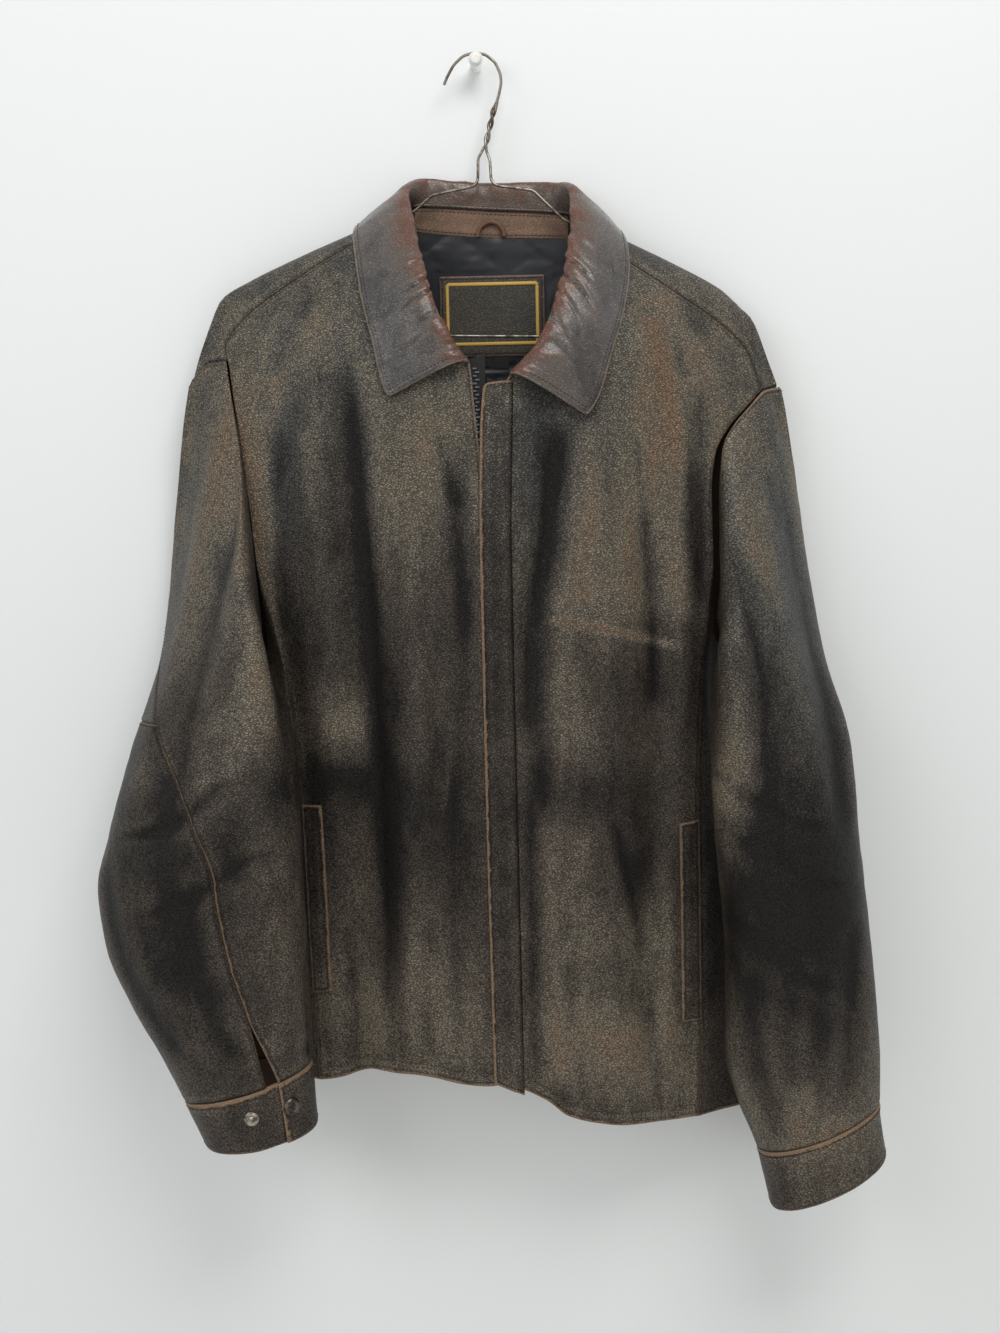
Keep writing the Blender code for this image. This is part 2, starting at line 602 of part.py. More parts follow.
def wall(name, outer, normal, finish, thickness=LEATHER):
    """A closed sheet: its outer face runs through a grid of points, its inner face lies behind them."""
    rows, columns = outer.shape[:2]
    points = np.concatenate([outer.reshape(-1, 3), (outer - normal * thickness).reshape(-1, 3)])
    number = np.arange(rows * columns).reshape(rows, columns)
    behind = rows * columns
    corners = (number[:-1, :-1], number[:-1, 1:], number[1:, 1:], number[1:, :-1])
    a, b, c, d = (corner.ravel() for corner in corners)
    skin = np.concatenate([np.stack([a, b, c], axis=-1), np.stack([a, c, d], axis=-1)])
    ring = np.concatenate([number[0], number[1:, -1], number[-1, -2::-1], number[-2:0:-1, 0]])
    after = np.roll(ring, -1)
    # A rim splits the same way whichever panel it belongs to, so that two rims at a seam run alike.
    rises = (points[after] - points[ring]) @ RIM_SPLIT > 0
    rim = np.concatenate([
        np.stack([after, ring, np.where(rises, after, ring) + behind], axis=-1),
        np.stack([np.where(rises, ring, after), ring + behind, after + behind], axis=-1),
    ])
    faces = np.concatenate([skin, skin[:, ::-1] + behind, rim])
    across = outer[:-1, 1:] - outer[:-1, :-1]
    along = outer[1:, :-1] - outer[:-1, :-1]
    if (np.cross(across, along) * normal[:-1, :-1]).sum() < 0:
        faces = faces[:, ::-1]
    mesh = bpy.data.meshes.new(name)
    mesh.from_pydata(points.tolist(), [], faces.tolist())
    mesh.materials.append(finish)
    made = bpy.data.objects.new(name, mesh)
    jacket.objects.link(made)
    return made


def wire(name, points, radius, finish, sides=2):
    """A round wire or cord along a row of points, with closed ends."""
    path = bpy.data.curves.new(name, "CURVE")
    path.dimensions = "3D"
    path.bevel_depth = radius
    path.bevel_resolution = sides
    path.use_fill_caps = True
    spline = path.splines.new("POLY")
    spline.points.add(len(points) - 1)
    spline.points.foreach_set("co", np.column_stack([points, np.ones(len(points))]).ravel())
    path.materials.append(finish)
    made = bpy.data.objects.new(name, path)
    jacket.objects.link(made)
    return made


def turned(name, profile, finish, location, axis_turn, steps=24):
    """A profile of radius and height turned about its own axis, which axis_turn then lays over."""
    mesh = bpy.data.meshes.new(name)
    points = [(radius, 0.0, height) for radius, height in profile]
    mesh.from_pydata(points, [(i, i + 1) for i in range(len(points) - 1)], [])
    mesh.materials.append(finish)
    made = bpy.data.objects.new(name, mesh)
    jacket.objects.link(made)
    made.location = location
    made.rotation_euler = axis_turn
    spin = made.modifiers.new("turn", "SCREW")
    spin.steps = steps
    spin.render_steps = steps
    spin.use_merge_vertices = True
    spin.merge_threshold = 0.00001
    return made


# ---- body panels ---------------------------------------------------------------------------------


def front_point(x, z):
    return np.stack([x, front_y(x, z), z], axis=-1)


def front_grid(side):
    """A front: centre edge and neckline, pocket seam and armhole, hem, and shoulder seam."""
    low = np.linspace(0, 1, LOW_STEPS + 1)
    inner = smooth(FRONT_EDGE[side], np.concatenate([EDGE_SPLIT * low, EDGE_ABOVE]))
    turns = np.arange(FRONT_TOP, SEAM_END - ARM_STEP / 2, -ARM_STEP)[1:]
    outer = np.vstack([smooth(POCKET_SEAM[side], low), armhole_place(side, turns)[:, :2]])
    across = np.linspace(0, 1, ACROSS_STEPS + 1)
    hem_x = blend(inner[0, 0], outer[0, 0], across)
    hem = np.stack([hem_x, column(HEM, hem_x)], axis=-1)
    hem[0], hem[-1] = inner[0], outer[0]
    top = smooth(SHOULDER_SEAM[side], 1 - across)
    place = coons(inner, outer, hem, top)
    return front_point(place[..., 0], place[..., 1])


def side_grid(side):
    """A side panel: from the pocket seam round the side to the back, under the armhole."""
    low = np.linspace(0, 1, LOW_STEPS + 1)
    turns = np.arange(FRONT_TOP, BACK_TOP + ARM_STEP / 2, ARM_STEP)
    across = np.linspace(0, 1, len(turns))
    front_edge = smooth(POCKET_SEAM[side], low)
    front_edge = front_point(front_edge[:, 0], front_edge[:, 1])
    back_edge = smooth(BACK_SEAM[side], low)
    back_edge = between(back_edge[:, 0], back_edge[:, 1], np.ones(len(low)))
    hem = blend(front_edge[0], back_edge[0], across[:, None])
    grid = coons(front_edge, back_edge, hem, armhole(side, turns))
    early = across**SIDE_EARLY - across
    grid[..., 1] += (back_edge[:, 1] - front_edge[:, 1])[:, None] * early * (1 - low[:, None] ** SIDE_FADE)
    bulge = column(SIDE_BULGE, low)[:, None] * np.sin(np.pi * across) ** SIDE_ROUND
    grid[..., 0] += SIDES[side] * bulge
    normal = facing(grid, np.array([SIDES[side], 0.0, 0.0]))
    normal[:, 0] = front_normal(front_edge[:, 0], front_edge[:, 2])
    normal[:, -1] = back_normal(back_edge[:, 0], back_edge[:, 2])
    normal[-1] = armhole_normal(side, turns)
    return grid, normal


def back_grid():
    """The back, carried over the shoulder line to the forward seam; it stops at the back neckline."""
    low = np.linspace(0, 1, LOW_STEPS + 1)
    turns = np.arange(BACK_TOP, 1 + ARM_STEP / 2, ARM_STEP)[1:]
    over_turns = 1 + ARM_STEP * np.arange(1, OVER_STEPS + 1)
    edges = {s: np.vstack([smooth(BACK_SEAM[s], low), armhole_place(s, turns)[:, :2]]) for s in SIDES}
    along = np.linspace(0, 1, ACROSS_STEPS + 1)
    seam = {s: smooth(SHOULDER_SEAM[s], along) for s in SIDES}
    in_neck = np.zeros(2 * len(along) + len(NECK_COLUMNS), bool)
    in_neck[len(along) : -len(along)] = True
    top_x = np.concatenate([
        blend(edges["right"][-1, 0], seam["right"][-1, 0], along),
        NECK_COLUMNS,
        blend(edges["left"][-1, 0], seam["left"][-1, 0], along)[::-1],
    ])
    ridge_z, _ = ridge(top_x)
    top = np.stack([top_x, ridge_z - NECK_SINK * in_neck], axis=-1)
    top[0], top[-1] = edges["right"][-1], edges["left"][-1]
    across = (top_x - top_x[0]) / (top_x[-1] - top_x[0])
    hem = blend(edges["right"][0], edges["left"][0], across[:, None])
    place = coons(edges["right"], edges["left"], hem, top, across)
    lower = between(place[..., 0], place[..., 1], np.ones(place.shape[:2]))
    forward = np.vstack([seam["right"], top[in_neck], seam["left"][::-1]])
    rows = [lower]
    for step in np.arange(1, OVER_STEPS + 1) / OVER_STEPS:
        place = np.stack([blend(top[:, 0], forward[:, 0], step), blend(top[:, 1], forward[:, 1], step**2)])
        over = front_point(*place)
        over[in_neck] = between(top_x, blend(top[:, 1], ridge_z, step), np.ones(len(top_x)))[in_neck]
        rows.append(over[None])
    grid = np.concatenate(rows)
    normal = facing(grid, np.array([0.0, 1.0, 0.0]))
    normal[-1] = front_normal(grid[-1, :, 0], grid[-1, :, 2])
    normal[-1 - OVER_STEPS :, in_neck] = (0.0, 1.0, 0.0)
    for side, edge in (("right", 0), ("left", -1)):
        normal[: len(low), edge] = back_normal(edges[side][: len(low), 0], edges[side][: len(low), 1])
        grid[len(low) :, edge] = armhole(side, np.concatenate([turns, over_turns]))
        normal[len(low) :, edge] = armhole_normal(side, np.concatenate([turns, over_turns]))
    return grid, normal


def neckline(fronts, back):
    """The body's neck edge, corner by corner, from the right centre front round to the left."""
    first = ACROSS_STEPS + 1
    behind = back[-1, first : first + len(NECK_COLUMNS)]
    return np.vstack([fronts["right"][CORNER_ROW:, 0], behind, fronts["left"][:CORNER_ROW - 1:-1, 0]])


# ---- sleeves -------------------------------------------------------------------------------------


def sleeve_section(side, share, turn):
    """A point on a full section of the sleeve; share runs from the underarm to past the cuff seam."""
    row = smooth(SLEEVE[side], share)
    outer = np.stack([row[..., 0], row[..., 1]], axis=-1)
    inner = np.stack([row[..., 2], row[..., 3]], axis=-1)
    angle = 2 * np.pi * turn
    place = (outer + inner) / 2 + (outer - inner) / 2 * np.cos(angle)[..., None]
    y = row[..., 4] - row[..., 5] * np.sin(angle) + row[..., 6] * np.cos(angle)
    return np.stack([place[..., 0], y, place[..., 1]], axis=-1)


def sleeve_point(side, length, turn):
    """The sleeve's outer face: length 0 at the armhole, 1 at the cuff seam; turn once round it."""
    length, turn = np.broadcast_arrays(np.asarray(length, float), np.asarray(turn, float))
    start = armhole(side, turn) + armhole_normal(side, turn) * SLEEVE_LIFT
    pull = smooth(LEAVE[side], np.mod(turn, 1.0))
    leave = pull * np.array([SIDES[side], -1.0, -1.0])
    turn = turn + column(TWIST, np.mod(turn, 1.0))
    full = sleeve_section(side, np.zeros_like(turn), turn)
    below = sleeve_section(side, np.full_like(turn, ARRIVE_AT), turn)
    arrive = (below - full) * ARRIVE
    t = np.clip(length / CAP_SHARE, 0, 1)[..., None]
    cap = start * (1 + 2 * t) * (1 - t) ** 2 + leave * t * (1 - t) ** 2
    cap = cap + full * t * t * (3 - 2 * t) + arrive * t * t * (t - 1)
    lower = sleeve_section(side, np.clip((length - CAP_SHARE) / (1 - CAP_SHARE), 0, 1 + CUFF_SHARE), turn)
    point = np.where(t < 1, cap, lower)
    beyond = (point[..., 1] - SLEEVE_CLEAR) / SLEEVE_SOFT
    point[..., 1] -= SLEEVE_SOFT * np.logaddexp(0, beyond)
    return point


def sleeve_normal(side, length, turn):
    length, turn = np.broadcast_arrays(np.asarray(length, float), np.asarray(turn, float))
    ahead, behind = length + PROBE, np.maximum(length - PROBE, 0)
    along = sleeve_point(side, ahead, turn) - sleeve_point(side, behind, turn)
    around = sleeve_point(side, length, turn + PROBE) - sleeve_point(side, length, turn - PROBE)
    middle = (sleeve_point(side, length, turn) + sleeve_point(side, length, turn + 0.5)) / 2
    normal = unit(np.cross(along, around))
    normal *= np.sign((normal * (sleeve_point(side, length, turn) - middle)).sum())
    return normal


def slit(side, length):
    """Half the opening above the right cuff, in turns."""
    opened = SLIT_OPEN / 2 if side == "right" else 0.0
    return opened * np.clip((length - SLIT_START) / (1 - SLIT_START), 0, 1)


def top_turn(side, length, across):
    start = column(BACK_SLEEVE_SEAM[side], length) + slit(side, length)
    return blend(start, column(UNDER_SLEEVE_SEAM[side], length), across)


def back_turn(side, length, across):
    end = 1 + column(BACK_SLEEVE_SEAM[side], length) - slit(side, length)
    return blend(column(UNDER_SLEEVE_SEAM[side], length), end, across)


def sleeve_pieces(side, finish):
    """Three panels; their rows run over the elbow seam's height all the way round."""
    upper = np.linspace(0, 1, UPPER_STEPS + 1)[:, None]
    lower = np.linspace(0, 1, LOWER_STEPS + 1)[:, None]
    across = np.linspace(0, 1, TOP_STEPS + 1)[None]
    elbow = blend(*ELBOW[side], across)
    length = np.vstack([elbow * upper, blend(elbow, 1, lower)[1:]])
    pieces = {"sleeve_top": (length, top_turn(side, length, across))}
    across = np.linspace(0, 1, BACK_STEPS + 1)[None]
    elbow = blend(*ELBOW[side], 1 - across)
    for name, length in (("sleeve_upper_back", elbow * upper), ("sleeve_lower_back", blend(elbow, 1, lower))):
        pieces[name] = (length, back_turn(side, length, across))
    for name, (length, turn) in pieces.items():
        grid = inset(sleeve_point(side, length, turn), SEAM_INSET)
        wall(f"{name}_{side}", grid, sleeve_normal(side, length, turn), finish)


def cuff_point(side, up, turn):
    """The cuff's outer face and its normals; the right one's under end sinks beneath its flap."""
    length = 1 + (1 - CAP_SHARE) * CUFF_SHARE * up
    grid = sleeve_point(side, length, turn)
    normal = sleeve_normal(side, length, turn)
    if side == "left":
        return grid, normal
    end = back_turn(side, np.array(1.0), 1.0)
    sunk = np.clip((turn - end) / CUFF_EASE + 1, 0, 1) * np.clip(2 * up, 0, 1)
    sunk = np.where(turn > end + PROBE, 1.0, sunk)
    return grid - normal * CUFF_SINK * sunk[..., None], normal


def cuff(side, finish):
    """The band below the sleeve, its points on the same turns; the right one is open at the slit."""
    one = np.array(1.0)
    front = top_turn(side, one, np.linspace(0, 1, TOP_STEPS + 1))
    behind = back_turn(side, one, np.linspace(0, 1, BACK_STEPS + 1))
    turns = [front, behind[1:]]
    if side == "right":
        turns.append(behind[-1] + np.array(CUFF_OVERLAP))
    else:
        turns[0] = front + np.eye(1, len(front))[0] * CUFF_JOIN
    turn, up = np.meshgrid(np.concatenate(turns), np.linspace(0, 1, CUFF_STEPS + 1))
    grid, normal = cuff_point(side, up, turn)
    return wall(f"cuff_{side}", inset(grid, SEAM_INSET, "b"), normal, finish)


# ---- collar --------------------------------------------------------------------------------------


def on_body(table, share, lift):
    """Points of a table on the body's outer face, lifted off it: forward in front, back behind."""
    place = smooth(table, share)
    x, z, depth = place[..., 0], place[..., 1], place[..., 2]
    y = blend(front_y(x, z - lift) - lift, back_y(x, z - lift) + lift, depth)
    return np.stack([x, y, z], axis=-1)


def collar_base(share, edge):
    """The neck edge itself, moved a little into the neck opening, and forward of the back."""
    base = np.stack([np.interp(share, COLLAR_KNOTS, edge[:, axis]) for axis in range(3)], axis=-1)
    along = np.gradient(base, axis=0)
    into = unit(np.stack([-along[:, 2], 0 * share, along[:, 0]], axis=-1))
    behind = np.interp(share, COLLAR_KNOTS[4:7], (0, 1, 1)) * np.interp(share, COLLAR_KNOTS[8:11], (1, 1, 0))
    forward = blend(LAYER, STAND_DEPTH, behind)
    return base + into * NECK_SHIFT - np.stack([0 * share, forward, 0 * share], axis=-1)


def collar_grid(edge):
    """The upper collar in one piece: up the stand, over the roll line and down the leaf."""
    share = np.concatenate([
        np.linspace(start, end, steps, endpoint=False)
        for start, end, steps in zip(COLLAR_KNOTS, COLLAR_KNOTS[1:], COLLAR_STEPS)
    ] + [[1.0]])
    base = collar_base(share, edge)
    roll = smooth(COLLAR_ROLL, share)
    hem = on_body(COLLAR_EDGE, share, LEAF_LIFT)
    outward = unit(np.column_stack([roll[:, :2] - NECK_AXIS, np.ones(len(share))]) * ROLL_OUT)
    in_front = (share < FRONT_SHARES[0]) | (share > FRONT_SHARES[1])
    rows = []
    for t in np.linspace(0, 1, STAND_STEPS, endpoint=False):
        rows.append(blend(base, roll, t) - outward * STAND_HOLLOW * math.sin(math.pi * t))
    for t in np.linspace(0, 1, LEAF_STEPS + 1):
        point = blend(roll, hem, t) + outward * LEAF_BULGE * math.sin(math.pi * t**BULGE_EARLY)
        limit = front_y(point[:, 0], point[:, 2] - LEAF_LIFT) - LEAF_LIFT
        if t > 0:
            point[:, 1] = np.minimum(point[:, 1], np.where(in_front, limit, WALL_CLEAR))
        rows.append(point)
    return np.stack(rows)


def collar(finish, edge):
    grid = collar_grid(edge)
    leaf = grid[STAND_STEPS + 1 :]
    axis = np.array([NECK_AXIS[0], NECK_AXIS[1], leaf[..., 2].mean()])
    side = np.sign((facing(grid, np.ones(3))[STAND_STEPS + 1 :] * (leaf - axis)).sum())
    normal = facing(grid, np.ones(3)) * side
    wall("collar", grid, normal, finish)
    start = STAND_STEPS + UNDER_ROW
    under = grid[start:] - normal[start:] * LAYER
    wall("under_collar", inset(under, UNDER_INSET), normal[start:], finish, CLOTH)


# ---- what lies on the fronts and inside the neck -------------------------------------------------


def on_rows(front, rows, first, second):
    """Lines across a front at the given rows, from one of its columns to another."""
    index = np.minimum(np.floor(np.maximum(rows, 0)).astype(int), CORNER_ROW - 1)
    rest = (rows - index)[:, None]
    return [blend(front[index, at], front[index + 1, at], rest) for at in (first, second)]


def strip(name, lines, shares, lift, finish, thickness=LEATHER, stand=0.0):
    """A strip that lies this far off a front, between shares of the way across its lines."""
    start, end = lines
    grid = blend(start[:, None], end[:, None], shares[..., None])
    normal = front_normal(grid[..., 0], grid[..., 2])
    free = np.linspace(1, 0, shares.shape[1])[None, :, None] * stand
    wall(name, grid + normal * (lift + free), normal, finish, thickness)


def shares_of(lines, left, right, columns):
    """Where the x of each edge falls on the lines, and the steps between them."""
    start, end = (line[:, 0] for line in lines)
    low, high = (left - start) / (end - start), (right - start) / (end - start)
    return low[:, None] + (high - low)[:, None] * np.linspace(0, 1, columns)[None]


def placket(finish, front):
    lines = on_rows(front, np.array(PLACKET_ROWS), 0, 1)
    z = lines[0][:, 2]
    shares = shares_of(lines, column(PLACKET_LEFT, z), column(PLACKET_RIGHT, z), 4)
    strip("placket", lines, shares, LAYER, finish, stand=PLACKET_STAND)


def zip_tapes(finish, fronts):
    for side, (left, right) in ZIP.items():
        lines = on_rows(fronts[side], np.array(ZIP_ROWS[side]), 0, 1)
        shares = shares_of(lines, left + 0 * lines[0][:, 0], right + 0 * lines[0][:, 0], 3)
        strip(f"zip_tape_{side}", lines, shares, -(LAYER + GAP / 2), finish, CLOTH)


def welt(side, finish, front):
    lines = on_rows(front, np.array(WELT_ROWS[side]), -1, -2)
    start = lines[0][:, 0]
    shares = shares_of(lines, start, start - SIDES[side] * WELT_WIDTH, 4)
    strip(f"welt_{side}", lines, shares, LAYER, finish)


def back_face(back, x, z):
    """Depth of the back's own flat faces at each x, z; x is the same all down a column."""
    depth = np.empty_like(z)
    for number, at in enumerate(x[0]):
        heights = [np.interp(at, row[:, 0], row[:, 2]) for row in back]
        depths = [np.interp(at, row[:, 0], row[:, 1]) for row in back]
        depth[:, number] = np.interp(z[:, number], heights, depths)
    return depth


def neck_panel(name, back, x, bottom, top, depth, finish, thickness=CLOTH, rows=3):
    """A piece inside the back, its face this far in front of the back's outer face."""
    up = np.linspace(0, 1, rows)[:, None]
    z = blend(bottom + 0 * x, top + 0 * x, up)
    x = x + 0 * z
    grid = np.stack([x, back_face(back, x, z) - depth, z], axis=-1)
    forward = np.zeros_like(grid)
    forward[..., 1] = -1
    wall(name, grid, forward, finish, thickness)


def inside_neck(leather, lining, label, back):
    edges = [FACING_ROWS[0][0], *NECK_COLUMNS[1:-1], FACING_ROWS[-1][0]]
    x = np.unique(np.concatenate([np.linspace(edges[0], edges[-1], FACING_COLUMNS), edges[1:-1]]))
    top = np.interp(x, back[-1, :, 0], back[-1, :, 2])
    low = column(FACING_ROWS, x)
    neck_panel("neck_facing", back, x, low, top - FACING_DROP, FACING_DEPTH, leather, LEATHER)
    z = (top - CORD_DROP)[None]
    y = back_face(back, x[None], z) - CORD_DEPTH
    wire("neck_seam", np.column_stack([x, y[0], z[0]]), NECK_CORD, leather, 1)
    x = np.unique([LINING["left"], *NECK_COLUMNS[1:-1], LINING["right"], -0.012, 0.030])
    high = column(FACING_ROWS, x) - GAP
    neck_panel("lining", back, x, LINING["bottom"], high, LINING_DEPTH, lining, rows=LINING_ROWS)
    for name, area, depth, finish, cloth in (
        ("label_patch", LABEL, LABEL_DEPTH, label, CLOTH),
        ("size_tab", SIZE_TAB, TAB_DEPTH, lining, TAB_CLOTH),
        ("care_tab", CARE_TAB, TAB_DEPTH, lining, TAB_CLOTH),
    ):
        x = np.linspace(area["left"], area["right"], 3)
        neck_panel(name, back, x, area["bottom"], area["top"], depth, finish, cloth)
    angle = np.linspace(0, np.pi, 13)
    x = LOOP_X + LOOP_HALF * np.cos(angle)
    z = LOOP_Z + LOOP_RISE * np.sin(angle)
    y = back_face(back, x[None], z[None])[0] - LOOP_DEPTH
    wire("hanger_loop", np.column_stack([x, y, z]), LOOP_TUBE, leather, 1)


# ---- snap, hanger and knob -----------------------------------------------------------------------


def cuff_spot(x, z, turns, lift):
    """The place just off the right cuff nearest to x, z, and the turn that faces it outwards."""
    up, turn = np.meshgrid(np.linspace(0, 1, 60), np.linspace(*turns, 90), indexing="ij")
    grid, normal = cuff_point("right", up, turn)
    gap = (grid[..., 0] - x) ** 2 + (grid[..., 2] - z) ** 2
    spot = np.unravel_index(gap.argmin(), gap.shape)
    outward = normal[spot]
    yaw = math.atan2(outward[0], -outward[1])
    pitch = math.atan2(outward[2], math.hypot(outward[0], outward[1]))
    return grid[spot] + outward * lift, (math.pi / 2 - pitch, 0.0, yaw)


def snap(finish):
    turned("snap_stud", STUD_PROFILE, finish, *cuff_spot(STUD_X, STUD_Z, STUD_TURNS, STUD_LIFT))
    turned("snap_cap", CAP_PROFILE, finish, *cuff_spot(CAP_X, CAP_Z, CAP_TURNS, CAP_LIFT))


def level(pairs, y):
    """Points from x, z pairs, all at one depth."""
    return np.array([(x, y, z) for x, z in pairs])


def leaning(pairs):
    """Points from x, z pairs that step forward from the twist to the arms."""
    points = level(pairs, WIRE_Y)
    points[:, 1] = blend(WIRE_Y, HANGER_Y, np.clip((LEAN_TOP - points[:, 2]) / LEAN_HEIGHT, 0, 1))
    return points


def hanger(finish, back):
    """One wire: hook, stem, twist, left arm, bar, right arm, twist again and a cut end."""
    along = np.linspace(0, 1, TWIST_STEPS)
    line = blend(np.array(TWIST_TOP), np.array(TWIST_BOTTOM), along[:, None])
    strands = []
    for start in (0.0, np.pi):
        angle = start + 2 * np.pi * TWIST_TURNS * along
        x = line[:, 0] - TWIST_RADIUS * np.cos(angle)
        y = WIRE_Y - TWIST_RADIUS * np.sin(angle)
        strands.append(np.column_stack([x, y, line[:, 1]]))
    first, second = strands
    shoulder = back[-1 - OVER_STEPS] - np.array([0.0, 0.0, ARM_DROP])
    path = np.concatenate([
        level(HOOK, WIRE_Y),
        first,
        leaning(NECK_LEFT),
        level(ARM_START["left"], HANGER_Y),
        shoulder[-ACROSS_STEPS:-ARM_INSET],
        level(CORNER_LEFT, HANGER_Y),
        level(CORNER_RIGHT[::-1], HANGER_Y),
        shoulder[ARM_INSET:ACROSS_STEPS],
        level(ARM_START["right"][::-1], HANGER_Y),
        leaning(NECK_RIGHT[::-1]),
        second[::-1],
        second[:1] + np.array(CUT_END),
    ])
    return wire("hanger", path, WIRE_RADIUS, finish)


def wall_knob(finish):
    return turned("wall_knob", KNOB_PROFILE, finish, (0.0, 0.0, 0.0), (math.pi / 2, 0.0, 0.0), KNOB_STEPS)


def build():
    leather = material("leather", (0.045, 0.036, 0.030), 0.55)
    collar_leather = material("collar_leather", (0.060, 0.040, 0.036), 0.50)
    lining = material("lining", (0.020, 0.021, 0.026), 0.45)
    label = material("label_leather", (0.030, 0.027, 0.022), 0.55)
    tape = material("zip_tape", (0.018, 0.019, 0.022), 0.80)
    snap_metal = material("snap_metal", (0.110, 0.100, 0.090), 0.35, 1.0)
    steel = material("hanger_wire", (0.300, 0.290, 0.270), 0.35, 1.0)
    white = material("knob_white", (0.800, 0.800, 0.780), 0.40)

    back, back_out = back_grid()
    wall("back", inset(back, SEAM_INSET), back_out, leather)
    fronts = {}
    for side in SIDES:
        fronts[side] = front_grid(side)
        front_out = front_normal(fronts[side][..., 0], fronts[side][..., 2])
        wall(f"front_{side}", inset(fronts[side], SEAM_INSET), front_out, leather)
        panel, panel_out = side_grid(side)
        wall(f"side_{side}", inset(panel, SEAM_INSET), panel_out, leather)
        sleeve_pieces(side, leather)
        cuff(side, leather)
        welt(side, leather, fronts[side])
    collar(collar_leather, neckline(fronts, back))
    placket(leather, fronts["left"])
    zip_tapes(tape, fronts)
    inside_neck(collar_leather, lining, label, back)
    snap(snap_metal)
    hanger(steel, back)
    wall_knob(white)


clear_scene()
jacket = collection_of("leather_jacket")
build()
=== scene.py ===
import math

import bpy
import numpy as np
from mathutils import Matrix, Vector


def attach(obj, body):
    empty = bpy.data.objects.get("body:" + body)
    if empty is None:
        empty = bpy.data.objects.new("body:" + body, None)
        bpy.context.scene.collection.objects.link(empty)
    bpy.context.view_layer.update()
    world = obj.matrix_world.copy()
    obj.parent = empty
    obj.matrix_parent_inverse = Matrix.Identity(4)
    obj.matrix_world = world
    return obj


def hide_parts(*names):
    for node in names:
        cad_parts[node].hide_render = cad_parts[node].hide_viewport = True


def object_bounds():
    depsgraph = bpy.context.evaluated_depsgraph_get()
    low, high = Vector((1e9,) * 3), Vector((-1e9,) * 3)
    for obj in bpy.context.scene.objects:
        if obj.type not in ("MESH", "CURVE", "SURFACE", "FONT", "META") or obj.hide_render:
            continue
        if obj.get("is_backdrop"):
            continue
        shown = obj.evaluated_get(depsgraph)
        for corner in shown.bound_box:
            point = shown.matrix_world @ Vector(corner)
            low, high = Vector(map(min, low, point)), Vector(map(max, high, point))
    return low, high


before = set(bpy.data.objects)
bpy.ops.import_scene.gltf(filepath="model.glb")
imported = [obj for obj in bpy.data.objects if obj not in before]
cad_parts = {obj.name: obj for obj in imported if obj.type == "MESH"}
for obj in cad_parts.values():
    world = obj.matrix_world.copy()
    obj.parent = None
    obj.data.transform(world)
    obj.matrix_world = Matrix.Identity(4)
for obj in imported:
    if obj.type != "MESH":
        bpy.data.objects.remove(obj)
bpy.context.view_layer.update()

# A worn leather jacket on a wire hanger. Metres, +Z up, the wall is the plane y = 0 and the front faces -Y.
# "Right" and "left" are the wearer's: the wearer's right side is at -X.

camera = {"place": (0.00862, -1.25, -0.36495), "down": 6.2, "roll": 1.3, "lens": 39.16, "sensor": 36.0}


def setCamera():
    down, roll = math.radians(camera["down"]), math.radians(camera["roll"])
    ahead = Vector((0.0, math.cos(down), -math.sin(down)))
    level = Vector((1.0, 0.0, 0.0))
    up = Vector((0.0, math.sin(down), math.cos(down)))
    right = math.cos(roll) * level - math.sin(roll) * up
    top = math.sin(roll) * level + math.cos(roll) * up
    data = bpy.data.cameras.new("camera")
    data.lens = camera["lens"]
    data.sensor_width = camera["sensor"]
    made = bpy.data.objects.new("camera", data)
    bpy.context.scene.collection.objects.link(made)
    turn = Matrix((right, top, -ahead)).transposed()
    made.matrix_world = Matrix.Translation(camera["place"]) @ turn.to_4x4()
    bpy.context.scene.camera = made


setCamera()
print("camera set")

# cuts and sections that fix the hanging shape
shoulderLine = [  # x, y, z from the right armhole over the neck to the left one
    (-0.242, -0.043, -0.259), (-0.2331, -0.036, -0.2302), (-0.2258, -0.031, -0.2126),
    (-0.2131, -0.026, -0.1869), (-0.1919, -0.023, -0.1744), (-0.1531, -0.022, -0.1567),
    (-0.1053, -0.021, -0.137), (-0.074, -0.019, -0.124), (-0.052, -0.015, -0.1128),
    (0.009, -0.013, -0.1166), (0.07, -0.015, -0.1212), (0.093, -0.019, -0.1345), (0.1214, -0.021, -0.148),
    (0.1609, -0.022, -0.1677), (0.1988, -0.023, -0.1895), (0.2132, -0.026, -0.2038),
    (0.2213, -0.031, -0.2128), (0.2344, -0.036, -0.243), (0.2451, -0.045, -0.2715),
]
shoulderSeam = {  # share from armhole to neck, x, z
    "right": [
        (0.0, -0.2092, -0.2397), (0.08, -0.2105, -0.2289), (0.2, -0.1987, -0.2103),
        (0.5, -0.1503, -0.1761), (0.8, -0.104, -0.1488), (1.0, -0.074, -0.134),
    ],
    "left": [
        (0.0, 0.2288, -0.2735), (0.2, 0.2176, -0.2425), (0.32, 0.204, -0.2262), (0.6, 0.1534, -0.1907),
        (0.82, 0.1212, -0.1689), (1.0, 0.093, -0.15),
    ],
}
